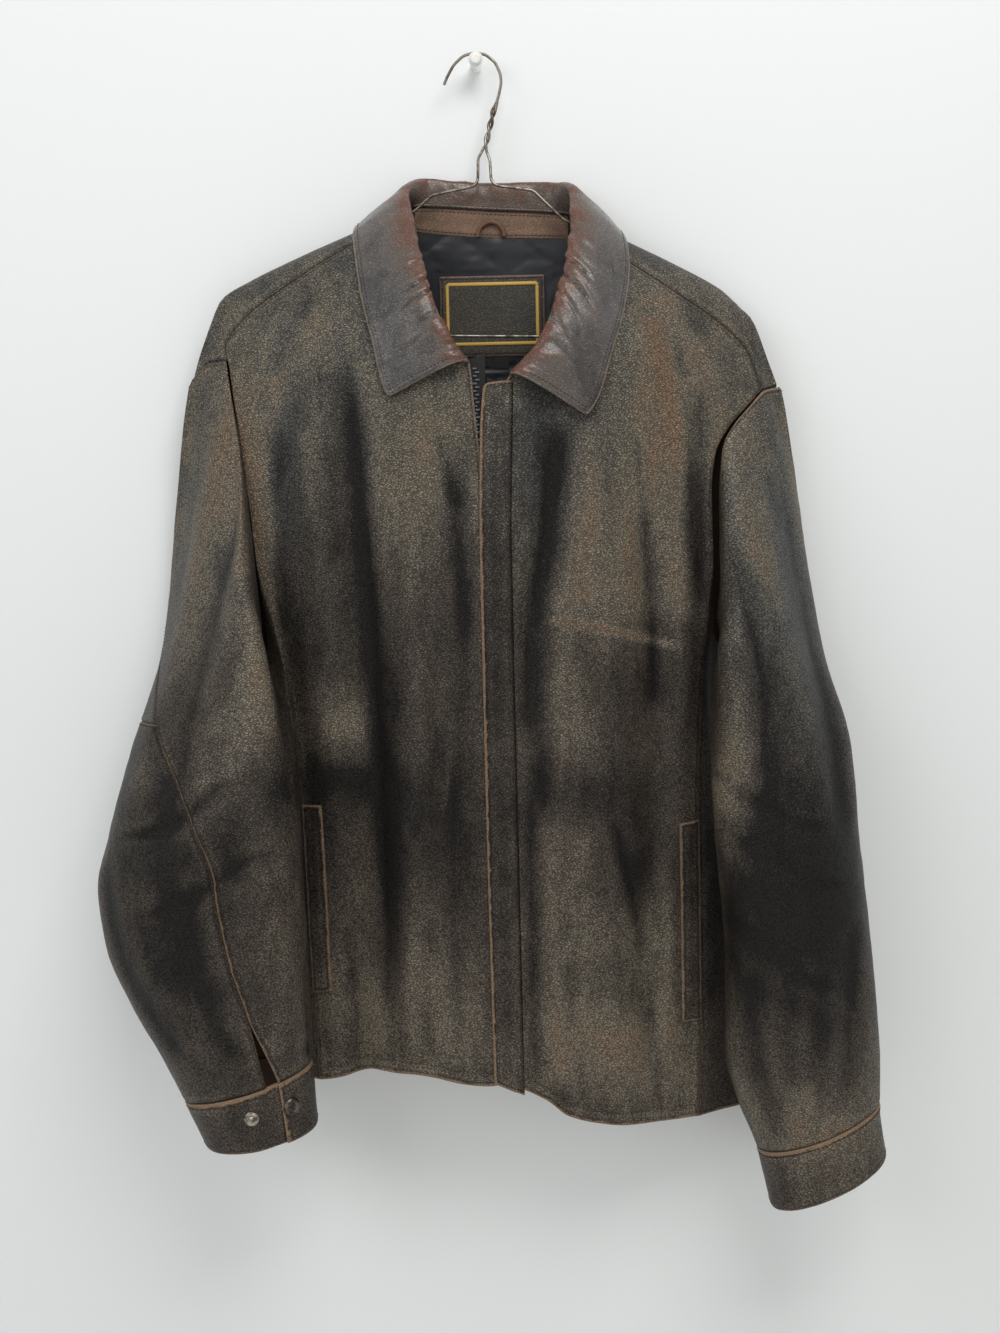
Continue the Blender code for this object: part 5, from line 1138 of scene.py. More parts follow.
finishes = {
    "leather": leatherFinish(
        "leather",
        ((26, 24, 22), (82, 73, 64), (77, 80, 80), (118, 111, 97), (126, 104, 84), (142, 117, 93)),
        wear=0.06, grain=0.76, pebbles=600.0, grainDepth=0.0006, gloss=0.5),
    "collar": leatherFinish(
        "collarLeather",
        ((42, 38, 36), (110, 97, 89), (88, 87, 87), (100, 80, 68), (108, 71, 56), (138, 120, 102)),
        wear=0.1, blotch=1.5, grain=0.4, grainDepth=0.0006, gloss=1.0, polish=0.27),
    "neck": leatherFinish(
        "neckLeather",
        ((66, 52, 44), (116, 92, 75), (84, 78, 74), (126, 100, 82), (140, 110, 88), (150, 118, 96)),
        wear=0.15, blotch=0.8, grain=0.28),
    "cord": leatherFinish(
        "cordLeather",
        ((70, 52, 42), (104, 76, 60), (84, 78, 74), (116, 84, 66), (126, 92, 72), (130, 100, 80)),
        wear=0.45, blotch=0.5, grain=0.2),
    "label": leatherFinish(
        "labelLeather",
        ((40, 39, 36), (74, 70, 63), (60, 62, 60), (86, 80, 70), (92, 84, 70), (128, 98, 88)),
        wear=0.1, grainDepth=0.0004, pebbles=520.0, blotch=0.4, grain=0.4, gloss=0.5),
    "suede": plainFinish("suedeSide", (74, 58, 46), 0.9),
    "thread": plainFinish("darkThread", (36, 30, 27), 0.75),
    "gilt": plainFinish("giltThread", (204, 168, 84), 0.4),
    "lining": wovenFinish("satinLining", (24, 26, 32), 0.36, 3000.0, 0.00004),
    "tab": wovenFinish("wovenTab", (30, 31, 34), 0.7, 3400.0, 0.00008),
    "tape": wovenFinish("zipTape", (24, 24, 27), 0.8, 2200.0, 0.0001),
    "teeth": scuffedFinish("zipTeeth", (120, 124, 130), (58, 60, 64), 0.35, 0.6, 1.0, 900.0),
    "stud": scuffedFinish("studMetal", (176, 168, 158), (96, 88, 80), 0.28, 0.5, 1.0, 180.0),
    "snap": scuffedFinish("snapMetal", (104, 97, 90), (62, 57, 52), 0.34, 0.5, 1.0, 180.0),
    "wire": scuffedFinish("hangerWire", (146, 140, 130), (92, 82, 72), 0.34, 0.6, 1.0, 120.0),
    "knob": scuffedFinish("knobWhite", (232, 232, 228), (218, 216, 210), 0.32, 0.42, 0.0, 160.0),
}
print("materials made")

# paler and darker places

# the darker places are mostly painted shade, along the fold valleys and where the fronts and sleeves meet;
# the paler ones are rubbed wear
bodyTone = [  # x, z, half width, half height, paler or darker
    (-0.12, -0.22, 0.05, 0.035, 0.25), (-0.105, -0.4, 0.022, 0.125, -0.3),
    (-0.15, -0.355, 0.012, 0.135, -0.35), (-0.065, -0.355, 0.025, 0.05, 0.2),
    (-0.04, -0.31, 0.022, 0.04, 0.35), (-0.118, -0.535, 0.03, 0.03, 0.75),
    (-0.125, -0.58, 0.05, 0.018, -0.55), (-0.035, -0.405, 0.025, 0.05, 0.2),
    (-0.045, -0.51, 0.016, 0.05, 0.15), (-0.08, -0.56, 0.01, 0.09, -0.45),
    (-0.14, -0.47, 0.02, 0.035, -0.4), (-0.065, -0.6, 0.04, 0.025, -0.25),
    (-0.12, -0.685, 0.022, 0.05, 0.2), (-0.08, -0.68, 0.01, 0.06, -0.45),
    (-0.06, -0.73, 0.03, 0.05, 0.4), (-0.115, -0.775, 0.04, 0.03, 0.35),
    (-0.035, -0.78, 0.022, 0.04, 0.35), (-0.022, -0.65, 0.012, 0.08, -0.35),
    (-0.02, -0.43, 0.008, 0.1, -0.3), (0.048, -0.31, 0.018, 0.08, -0.5),
    (0.09, -0.33, 0.02, 0.04, -0.15), (0.165, -0.235, 0.04, 0.04, 0.45),
    (0.145, -0.305, 0.032, 0.04, 0.45), (0.13, -0.375, 0.024, 0.05, 0.4),
    (0.1, -0.44, 0.05, 0.025, 0.3), (0.08, -0.4, 0.022, 0.05, 0.35),
    (0.145, -0.43, 0.022, 0.025, 0.35), (0.15, -0.27, 0.016, 0.05, 0.3),
    (0.13, -0.51, 0.05, 0.022, -0.3), (0.065, -0.535, 0.026, 0.04, 0.4),
    (0.08, -0.595, 0.05, 0.022, -0.45), (0.065, -0.65, 0.026, 0.034, 0.3),
    (0.115, -0.655, 0.022, 0.03, -0.5), (0.085, -0.715, 0.034, 0.034, 0.4),
    (0.14, -0.74, 0.022, 0.04, 0.25), (0.1, -0.8, 0.05, 0.034, 0.45),
    (0.05, -0.8, 0.024, 0.04, 0.25), (0.16, -0.85, 0.025, 0.025, 0.3),
    (0.176, -0.345, 0.01, 0.125, -0.25), (0.17, -0.525, 0.012, 0.07, -0.55),
]
sleeveTone = [  # x, z, half width, half height, paler or darker
    (-0.19, -0.3, 0.025, 0.05, 0.25), (-0.18, -0.4, 0.03, 0.07, 0.35),
    (-0.215, -0.37, 0.024, 0.07, 0.2), (-0.25, -0.46, 0.025, 0.04, 0.1),
    (-0.176, -0.5, 0.02, 0.038, 0.6), (-0.2, -0.545, 0.022, 0.032, 0.3),
    (-0.16, -0.445, 0.014, 0.07, 0.15), (-0.258, -0.52, 0.025, 0.034, -0.2),
    (-0.262, -0.62, 0.034, 0.07, -0.45), (-0.245, -0.71, 0.034, 0.05, -0.45),
    (-0.172, -0.62, 0.018, 0.05, 0.25), (-0.202, -0.62, 0.012, 0.05, -0.35),
    (-0.164, -0.725, 0.014, 0.05, 0.25), (-0.203, -0.83, 0.042, 0.017, 0.1),
    (0.205, -0.32, 0.032, 0.05, 0.15), (0.268, -0.47, 0.017, 0.1, -0.2),
    (0.187, -0.585, 0.016, 0.05, 0.75), (0.19, -0.515, 0.014, 0.05, 0.3),
    (0.235, -0.53, 0.034, 0.05, -0.15), (0.23, -0.63, 0.042, 0.06, -0.5),
    (0.275, -0.67, 0.017, 0.07, -0.15), (0.23, -0.75, 0.042, 0.05, -0.2),
    (0.283, -0.785, 0.017, 0.042, 0.1), (0.252, -0.873, 0.042, 0.025, 0.35),
    (0.186, -0.685, 0.012, 0.05, -0.4),
]

# where it is paler, darker or bluer; some of the darker places are painted shade

toneStrength = (1.25, 1.25)  # of darker and of paler places
broadTone = [
    (0.138, -0.205, 0.02, 0.03, 0.5), (0.175, -0.215, 0.012, 0.02, -0.45), (0.0, -0.24, 0.26, 0.13, 0.3),
    (0.06, -0.82, 0.2, 0.05, 0.3), (-0.24, -0.33, 0.06, 0.14, 0.35), (0.25, -0.33, 0.06, 0.15, 0.35),
    (0.27, -0.86, 0.06, 0.05, 0.25), (0.25, -0.66, 0.07, 0.12, -0.75), (-0.08, -0.56, 0.1, 0.13, -0.3),
    (0.09, -0.36, 0.07, 0.09, 0.3),
]
# a negative paleness draws a dark line of painted shade along a fold valley; a positive one draws a rubbed
# fold line
rubAndShadeLines = [  # path of x, z points; half width; how pale; how sharp
    ([(0.0412, -0.4526), (0.0885, -0.4605), (0.1593, -0.4809)], 0.0034, 0.95, 0.0),
    ([(-0.031, -0.55), (-0.035, -0.578), (-0.039, -0.608)], 0.0026, 0.6, 0.0),
    ([(0.062, -0.275), (0.054, -0.35), (0.045, -0.43), (0.039, -0.5), (0.038, -0.63)], 0.009, -0.8, 0.2),
    ([(-0.108, -0.23), (-0.101, -0.33), (-0.095, -0.44), (-0.091, -0.54), (-0.088, -0.68)], 0.008, -0.8, 0.3),
    ([(-0.118, -0.24), (-0.119, -0.32), (-0.121, -0.41)], 0.012, -0.4, 0.0),
    ([(-0.164, -0.27), (-0.164, -0.4), (-0.16, -0.54)], 0.009, -0.6, 0.0),
    ([(0.119, -0.29), (0.127, -0.38), (0.132, -0.45), (0.134, -0.53)], 0.0045, -0.55, 0.3),
    ([(0.155, -0.205), (0.162, -0.3), (0.166, -0.38), (0.17, -0.46)], 0.007, -0.6, 0.2),
    ([(-0.032, -0.32), (-0.022, -0.4), (-0.018, -0.49)], 0.006, -0.6, 0.0),
]
plainEdges = [(0.184, -0.44, 0.018, 0.08), (-0.19, -0.36, 0.026, 0.095), (-0.18, -0.47, 0.024, 0.04)]
coolTone = [
    (0.238, -0.4, 0.05, 0.15, 0.9), (0.045, -0.33, 0.022, 0.1, 0.6), (0.27, -0.6, 0.03, 0.12, 0.4),
    (-0.235, -0.33, 0.045, 0.12, 0.8), (-0.175, -0.215, 0.03, 0.04, 0.4), (-0.16, -0.33, 0.016, 0.11, 0.5),
    (0.0, -0.22, 0.35, 0.18, 0.5), (-0.085, -0.2, 0.03, 0.07, 0.7), (0.105, -0.22, 0.03, 0.07, 0.7),
    (-0.055, -0.26, 0.03, 0.02, 0.5),
]


def spots(table, points):
    # the sum of soft ellipses, each a bell curve across and down
    x, z = points[..., 0], points[..., 2]
    total = np.zeros_like(x)
    for atX, atZ, halfWidth, halfHeight, amount in table:
        total += amount * np.exp(-(((x - atX) / halfWidth) ** 2) - ((z - atZ) / halfHeight) ** 2)
    return total


def painted(points, normal):
    # the tables hold for what faces forward; the rest is cloudy
    tone = spots(bodyTone + sleeveTone + broadTone, points)
    tone = tone * np.where(tone < 0, *toneStrength) + planFolds(rubAndShadeLines, points[..., 0], points[..., 2])
    behind = 0.35 * cloud(points, 0.085, 57, (1, 1, 1.8))
    return mix(behind - 0.1, tone, ease((-normal[..., 1] + 0.15) / 0.7))


def cooled(points, normal):
    return spots(coolTone, points) * ease((-normal[..., 1] + 0.2) / 0.6)


seamRoll, hemRoll, endRoll = (0.0011, 0.0034), (0.0007, 0.0022), (0.0006, 0.002)  # how deep, how wide
stitchLines = []


def edges(value, names="lrbt", **others):
    # the same for each named edge, and others where given
    return {**{edge: value for edge in names}, **others}


def bareEdges(**amounts):
    # how bare each cut edge is, and the strip's width where it isn't the usual one
    return {edge: value if isinstance(value, tuple) else (value, 0.0014) for edge, value in amounts.items()}


def sewn(name, grid, normal, slotName="leather", coat=("leather", "suede"), push=None, rolls=None, raw=None,
         thickness=leather, extra=0.0, pucker=0.0, rests=(), drawn=""):
    grid = inset(grid, gap * 0.6, drawn)
    wearAndShadeTone, cools = painted(grid, normal) + extra, cooled(grid, normal)
    kept = [finishes[c] for c in coat]
    obj, face = sewnSheet("sewn_" + name, grid, normal, kept, push, rolls, raw, thickness, wearAndShadeTone, pucker,
                          cools)
    asSheet(obj, face, slotName, name)
    return face, normal


def keepStitch(face, normal, edge, inset, trim=(0.02, 0.98)):
    line, up = lineAt(face, normal, edge, inset)
    first, last = int(trim[0] * (len(line) - 1)), int(trim[1] * (len(line) - 1)) + 1
    stitchLines.append((line[first:last], up[first:last]))


# the body

bodyPanels = {
    "frontLength": 0.7, "frontWidth": 0.18, "sideWidth": 0.14, "sideLength": 0.44, "backLength": 0.72,
    "backWidth": 0.46, "backRows": 0.0046, "backColumns": 0.0042,
}


def frontNormal(grid):
    return slopeNormal(frontY, grid[..., 0], grid[..., 2], 1)


def backNormal(grid):
    return slopeNormal(backY, grid[..., 0], grid[..., 2], -1)


for side in sides:
    grid = frontGrid(side, cuts(bodyPanels["frontLength"]) * 14, cuts(bodyPanels["frontWidth"]))
    face, normal = sewn(
        f"front_{side}", grid, frontNormal(grid), push=bodyRelief(grid),
        rolls=edges(seamRoll, "rt", b=hemRoll, l=hemRoll),
        raw=bareEdges(b=(0.8, 0.0019), l=0.7, t=0.4, r=0.5), pucker=0.00012, drawn="lrbt")
    keepStitch(face, normal, "t", 0.0045, (0.02, 0.8))
    keepStitch(face, normal, "b", 0.011)

for side in sides:
    low, across = cuts(bodyPanels["sideLength"]), cuts(bodyPanels["sideWidth"])
    grid = sideGrid(side, low, across)
    normal = gridNormal(grid, np.array([sides[side], 0.0, 0.0]))
    nearFront, nearBack = 1 - ease(across / 0.12), 1 - ease((1 - across) / 0.12)
    normal = mix(normal, frontNormal(grid[:, :1]), nearFront[None, :, None])
    normal = unit(mix(normal, backNormal(grid[:, -1:]), nearBack[None, :, None]))
    top = armholeNormal(side, frontTop + (backTop - frontTop) * across)
    normal = unit(mix(normal, top[None], 1 - ease((1 - low) / 0.05)[:, None, None]))
    # extra darkens each whole side panel: painted shade, as it lies in the shadow beside the sleeves
    sewn(f"side_{side}", grid, normal, push=bodyRelief(grid), rolls=edges(seamRoll, b=hemRoll),
         raw=bareEdges(b=(0.7, 0.0019), l=0.4), extra=-0.25, drawn="lrbt")

most, last = lowRows + 8, 24
backRows = cuts(bodyPanels["backLength"], bodyPanels["backRows"]) * (most + overRows)
backColumns = cuts(bodyPanels["backWidth"], bodyPanels["backColumns"]) * last
grid = backGrid(backRows, backColumns)
behind = np.array([0.0, 1.0, 0.0])
normal = gridNormal(grid, behind)
inNeck = ease((backColumns - acrossRows + 0.2) / 0.8) * ease((last - acrossRows - backColumns + 0.2) / 0.8)
neckShare = inNeck[None, :] * ease(backRows - most + 1)[:, None]
normal = unit(mix(normal, behind, neckShare[..., None]))
overShare = ease((backRows - 18.2) / 0.8)[:, None] * (1 - inNeck)[None, :]
normal = unit(mix(normal, frontNormal(grid[-1:]), overShare[..., None]))
for side, near in (("right", backColumns), ("left", last - backColumns)):
    turn = backTop + armStep * (backRows - lowRows)
    outside, inside = armholeNormal(side, turn), backNormal(grid[:, np.argmin(near)])
    beside = np.where(backRows[:, None] > lowRows, outside, inside)
    share = (1 - ease(near / 0.5))[None, :] * np.ones(len(backRows))[:, None]
    normal = unit(mix(normal, beside[:, None], share[..., None]))
calm = ease((0.115 - np.abs(grid[..., 0] - 0.008)) / 0.03) * ease((grid[..., 2] + 0.36) / 0.03)
sewn("back", grid, normal, push=bodyRelief(grid) * (1 - calm),  # flat behind the lining
     rolls=edges(seamRoll, "lr", t=(0.0008, 0.0026), b=hemRoll), raw=bareEdges(b=(0.7, 0.0019), t=0.4),
     pucker=0.0001, drawn="lrbt")
print("body done")

# sleeves

sleevePanels = {
    "length": 0.63, "topWidth": 0.2, "backWidth": 0.17,
    "topRaw": {  # how bare the seams are
        "right": {"b": (0.34, 0.0016), "l": 0.7125, "r": 0.3},
        "left": {"b": (0.85, 0.0016), "l": 0.375, "r": 0.3},
    },
    "upperRaw": {"right": {"b": 0.2, "t": 0.3, "r": 0.35}, "left": {"b": 0.5, "t": 0.3, "r": 0.35}},
    "lowerRaw": {"right": {"b": (0.8, 0.0015), "r": 0.35}, "left": {"b": (0.4, 0.0015), "r": 0.35}},
}


def sleevePanel(name, side, length, turn, raw, extra=0.0):
    grid, normal = sleevePoint(side, length, turn), sleeveNormal(side, length, turn)
    return sewn(f"{name}_{side}", grid, normal, push=sleeveRelief(side, length, turn), rolls=edges(seamRoll),
                raw=bareEdges(**sleevePanels[raw][side]), extra=extra, pucker=0.00014, drawn="lrbt")


for side in sides:
    across = cuts(sleevePanels["topWidth"])[None]
    length = cuts(sleevePanels["length"])[:, None] + 0 * across
    face, normal = sleevePanel("sleeve_top", side, length, topTurn(side, length, across), "topRaw")
    keepStitch(face, normal, "l", 0.004, (0.05, 0.98))
    keepStitch(face, normal, "b", 0.004)
    across = cuts(sleevePanels["backWidth"])[None]
    elbow = mix(*sleeve["elbow"][side], 1 - across)
    share = sleeve["elbow"][side][0]
    upper = elbow * cuts(sleevePanels["length"] * share)[:, None]
    lower = mix(elbow, 1, cuts(sleevePanels["length"] * (1 - share))[:, None])
    sleevePanel("sleeve_upper_back", side, upper, backTurn(side, upper, across), "upperRaw")
    turns = backTurn(side, lower, across)
    face, normal = sleevePanel("sleeve_lower_back", side, lower, turns, "lowerRaw", -0.2)
    keepStitch(face, normal, "b", 0.004)
print("sleeves done")

# cuffs and their snap

cuffShape = {
    "height": 0.058, "around": 0.24, "spacing": 0.0026, "overlap": {"right": 0.028, "left": 0.0},
    "join": {"right": 0.0, "left": 0.002}, "ease": 0.05, "sink": 0.0024,
    "relief": {"right": 0.6, "left": 1.0},
}
snapSpots = {  # x, z, turns between which it lies, how far out
    "stud": (-0.195, -0.837, (1.2, 1.31), -0.0003), "cap": (-0.164, -0.833, (0.335, 0.45), 0.0004),
}
studProfile = [
    (0.0, 0.0034), (0.0012, 0.0034), (0.0019, 0.0031), (0.0025, 0.0026), (0.0026, 0.0021), (0.002, 0.0016),
    (0.0019, 0.0013), (0.004, 0.0013), (0.0051, 0.0012), (0.0057, 0.0008), (0.0058, 0.0003), (0.0056, 0.0),
    (0.0, 0.0),
]
capProfile = [
    (0.0, 0.0018), (0.003, 0.0018), (0.0036, 0.0019), (0.004, 0.0023), (0.0048, 0.0025), (0.0058, 0.0022),
    (0.0068, 0.0014), (0.0073, 0.0007), (0.0074, 0.0002), (0.0071, 0.0), (0.0, 0.0),
]


def cuffPoint(side, up, turn):
    # the band below the sleeve; the right one's under end sinks beneath its flap
    length = 1 + (1 - sleeve["capShare"]) * sleeve["cuffShare"] * up
    grid, normal = sleevePoint(side, length, turn), sleeveNormal(side, length, turn)
    if side == "left":
        return grid, normal
    end = float(backTurn(side, np.array(1.0), 1.0))
    sunk = np.clip((turn - end) / cuffShape["ease"] + 1, 0, 1) * np.clip(2 * up, 0, 1)
    sunk = np.where(turn > end + probe, 1.0, sunk)
    return grid - normal * (cuffShape["sink"] * sunk)[..., None], normal


def cuffRelief(side, up, turn):
    first = sleeveRelief(side, np.ones_like(turn), turn)
    points = sleevePoint(side, 1 + 0.1 * up, turn)
    return mix(first, lumps(points, 23, 0.8), ease(up / 0.35)) * cuffShape["relief"][side]


for side in sides:
    one = np.array(1.0)
    start = float(topTurn(side, one, 0.0)) + cuffShape["join"][side]
    end = float(backTurn(side, one, 1.0)) + cuffShape["overlap"][side]
    turns = start + (end - start) * cuts(cuffShape["around"], cuffShape["spacing"])
    turn, up = np.meshgrid(turns, cuts(cuffShape["height"], cuffShape["spacing"]))
    grid, normal = cuffPoint(side, up, turn)
    face, normal = sewn(
        f"cuff_{side}", grid, normal, push=cuffRelief(side, up, turn),
        rolls=edges(endRoll, "lr", b=(0.0005, 0.002), t=(0.001, 0.003)),
        raw=bareEdges(b=(1.0, 0.0024), l=(0.9, 0.0022), t=(0.6, 0.0016)), pucker=0.0001, drawn="b")
    keepStitch(face, normal, "b", 0.0042, (0.01, 0.99))
    keepStitch(face, normal, "t", 0.006, (0.01, 0.99))
    if side == "right":
        keepStitch(face, normal, "l", 0.0045, (0.05, 0.95))
        rightCuff = (face, normal, turn)


def cuffSpot(x, z, turns, lift):
    # the place on the right cuff nearest to x, z, and axes that face outwards there
    face, normal, turn = rightCuff
    away = (face[..., 0] - x) ** 2 + (face[..., 2] - z) ** 2 + ((turn < turns[0]) | (turn > turns[1]))
    spot = np.unravel_index(away.argmin(), away.shape)
    out = normal[spot]
    side = unit(np.cross([0.0, 0.0, 1.0], out))
    return face[spot] + out * lift, np.column_stack([side, np.cross(out, side), out])


for name, profile, metal in (("stud", studProfile, "stud"), ("cap", capProfile, "snap")):
    place, axes = cuffSpot(*snapSpots[name])
    settle(lathe(f"turned_snap_{name}", profile, finishes[metal], place, axes), "snap_metal", f"snap_{name}")
print("cuffs done")

# collar

collarShape = {
    "foldRounds": 10,
    "knots": (0.0, 0.075, 0.15, 0.225, 0.3, 0.385, 0.44, 0.5, 0.56, 0.615, 0.7, 0.775, 0.85, 0.925, 1.0),
    "axis": (0.008, -0.05), "rollOut": (1.2, 2.0, 0.03), "frontShares": (0.35, 0.65), "hollow": 0.002,
    "early": 0.6, "bulge": 0.0065, "lift": 0.005, "wallClear": -0.0012, "wallSoft": 0.0015, "shift": 0.0007,
    "standDepth": 0.0024, "neck": (0.84, 0.88, 0.92, 0.96, 1.0), "around": 0.62, "stand": 0.034,
    "leaf": 0.085,
    "underFrom": 0.4, "underInset": 0.0009, "corner": 0.005, "spacing": 0.0026, "rollReach": 0.006,
    "roll": (0.0008, 0.0026), "frontEnds": (0.33, 0.67), "middle": (0.01, 0.026),
}
collarFolds = [  # from the roll line down the leaf, against the share of the way round
    ([(-0.35, 0.205), (0.1, 0.196), (0.55, 0.178)], 0.0026, -0.0024, 0.6),
    ([(-0.3, 0.232), (0.12, 0.222), (0.46, 0.212)], 0.003, -0.002, 0.5),
    ([(-0.2, 0.262), (0.1, 0.262), (0.4, 0.25)], 0.0022, -0.0014, 0.7),
    ([(-0.2, 0.15), (0.12, 0.146), (0.42, 0.128)], 0.0032, -0.0013, 0.4),
    ([(0.05, 0.11), (0.3, 0.104), (0.62, 0.086)], 0.0034, -0.0009, 0.4),
    ([(-0.35, 0.772), (0.1, 0.782), (0.58, 0.806)], 0.0028, -0.0026, 0.6),
    ([(-0.3, 0.748), (0.12, 0.752), (0.5, 0.764)], 0.0032, -0.0021, 0.5),
    ([(-0.25, 0.802), (0.1, 0.815), (0.5, 0.846)], 0.0024, -0.0019, 0.6),
    ([(-0.15, 0.845), (0.1, 0.856), (0.44, 0.886)], 0.003, -0.0014, 0.4),
    ([(0.1, 0.89), (0.32, 0.9), (0.66, 0.922)], 0.0034, -0.0009, 0.4),
    ([(-0.8, 0.47), (-0.3, 0.462), (0.1, 0.47)], 0.003, -0.0009, 0.4),
    ([(-0.7, 0.548), (-0.2, 0.54), (0.1, 0.545)], 0.003, -0.0009, 0.4),
]


def onBody(table, share, lift):
    place = smoothTable(table, share)
    x, z, depth = place[..., 0], place[..., 1], place[..., 2]
    y = mix(frontY(x, z - lift) - lift, backY(x, z - lift) + lift, depth)
    return np.stack([x, y, z], axis=-1)


def necklinePoints():
    front = {side: smoothTable(centreEdge[side], collarShape["neck"]) for side in sides}
    front = {side: frontPoint(place[:, 0], place[:, 1]) for side, place in front.items()}
    x = np.array(neckColumns)
    behind = between(x, ridge(x)[0], np.ones(len(x)))
    return np.vstack([front["right"], behind, front["left"][::-1]])


def collarGrid(share, standRows, leafRows):
    # up the stand from the neck edge, over the roll line, down the leaf: each row blends three lines
    knots = collarShape["knots"]
    edge = np.column_stack([knots, necklinePoints()])
    straight = np.stack([np.interp(share, knots, edge[:, k]) for k in (1, 2, 3)], axis=-1)
    base = mix(smoothTable(edge, share), straight, 0.5)
    ahead = np.gradient(base, axis=0)
    into = unit(np.stack([-ahead[:, 2], 0 * share, ahead[:, 0]], axis=-1))
    behind = np.interp(share, knots[4:7], (0, 1, 1)) * np.interp(share, knots[8:11], (1, 1, 0))
    base = base + into * collarShape["shift"]
    base[:, 1] -= mix(layer, collarShape["standDepth"], behind)
    roll = smoothTable(collarRoll, share)
    hem = onBody(collarEdge, share, collarShape["lift"])
    outward = np.column_stack([roll[:, :2] - collarShape["axis"], np.ones(len(share))])
    outward = unit(outward * collarShape["rollOut"])[None]
    t = standRows[:, None, None]
    stand = mix(base[None], roll[None], t) - outward * collarShape["hollow"] * np.sin(np.pi * t)
    t = leafRows[:, None, None]
    bulge = collarShape["bulge"] * np.sin(np.pi * t ** collarShape["early"])
    leaf = mix(roll[None], hem[None], t) + outward * bulge
    # the leaf stays outside the fronts, and off the wall behind the neck
    inFront = (share < collarShape["frontShares"][0]) | (share > collarShape["frontShares"][1])
    limit = frontY(leaf[..., 0], leaf[..., 2] - collarShape["lift"]) - collarShape["lift"]
    limit = np.where(inFront[None], limit, collarShape["wallClear"])
    soft, below = collarShape["wallSoft"], t[..., 0] > 0
    leaf[..., 1] -= np.where(below, soft * np.logaddexp(0, (leaf[..., 1] - limit) / soft), 0)
    leaf[..., 1] = np.where(below, np.minimum(leaf[..., 1], limit), leaf[..., 1])
    return np.concatenate([stand, leaf])


share = cuts(collarShape["around"], collarShape["spacing"])
standRows = cuts(collarShape["stand"], collarShape["spacing"], ends="start")[:-1]
leafRows = cuts(collarShape["leaf"], collarShape["spacing"], ends="end")
grid = collarGrid(share, standRows, leafRows)
fromRoll = np.concatenate([(standRows - 1) * collarShape["stand"], leafRows * collarShape["leaf"]])
near = np.exp(-((fromRoll / collarShape["rollReach"]) ** 2))[:, None, None]
for _ in range(collarShape["foldRounds"]):
    softer = grid.copy()
    softer[1:-1] = (grid[:-2] + 2 * grid[1:-1] + grid[2:]) / 4
    grid = mix(grid, softer, near)
leafStart = len(standRows) + 1
for corner in ("tl", "tr"):
    grid = roundCorner(grid, corner, collarShape["corner"])
axis = np.array([*collarShape["axis"], grid[leafStart:, :, 2].mean()])
outward = np.zeros_like(grid)
outward[leafStart:] = grid[leafStart:] - axis
normal = gridNormal(grid, outward)
t, shares = np.meshgrid(np.concatenate([standRows - 1, leafRows]), share, indexing="ij")
flat = np.stack([shares * collarShape["around"], t * collarShape["leaf"], 0 * t], axis=-1)
roughly, finer = cloud(flat, 0.011, 71, (1, 2.6, 1)), cloud(flat, 0.0048, 73, (1, 2.2, 1))
nearRoll = np.exp(-((t / 0.22) ** 2))
push = lumps(grid, 31, 0.55) + (roughly * 0.001 + finer * 0.00042) * (0.25 + nearRoll)
for path, width, height, sharp in collarFolds:
    push += crease(t, shares, path, width, height, sharp, collarShape["around"], 0.3)
push *= ease((t + 1) / 0.25)
# rubbed through along the roll and behind the neck; the stand's sides are darkened: painted shade
start, stop = collarShape["frontEnds"]
behindNeck = ease((shares - start) / 0.06) * ease((stop - shares) / 0.06)
rollWearAndStandShade = 1.15 * np.exp(-((t / (0.13 + 0.04 * roughly)) ** 2))
rollWearAndStandShade += 0.75 * np.exp(-((t / 0.36) ** 2)) * (1 + 0.6 * roughly) - 0.1
# painted shade: the stand's sides, which sit in the leaf's shade, drawn darker
rollWearAndStandShade -= 0.9 * (1 - behindNeck) * ease(-t / 0.3)
centre, halfWidth = collarShape["middle"]
middle = np.exp(-(((grid[..., 0] - centre) / halfWidth) ** 2))
rollWearAndStandShade += behindNeck * (t < 0.05) * (0.35 * ease(-t / 0.4) + 0.35 * middle + 0.15 * roughly)
kept = [finishes["collar"], finishes["suede"]]
obj, face = sewnSheet("sewn_collar", grid, normal, kept, push, edges(collarShape["roll"], "tlr"),
                      {"t": (0.7, 0.0014), "l": (0.5, 0.0012), "r": (0.5, 0.0012)}, leather, rollWearAndStandShade, 0.00012,
                      cooled(grid, normal))
asSheet(obj, face, "collar_leather", "collar")
for edge, trim in (("t", (0.004, 0.996)), ("l", (0.15, 0.93)), ("r", (0.15, 0.93))):
    keepStitch(face[leafStart:], normal[leafStart:], edge, 0.0052, trim)
underStart = leafStart + int(np.searchsorted(leafRows[1:], collarShape["underFrom"]))
normal = normal[underStart:]
under = inset(face[underStart:] - normal * layer, collarShape["underInset"])
obj, face = sewnSheet("sewn_under_collar", under, normal, kept[::-1], thickness=cloth)
asSheet(obj, face, "collar_leather", "under_collar")
print("collar done")

# what lies on the fronts

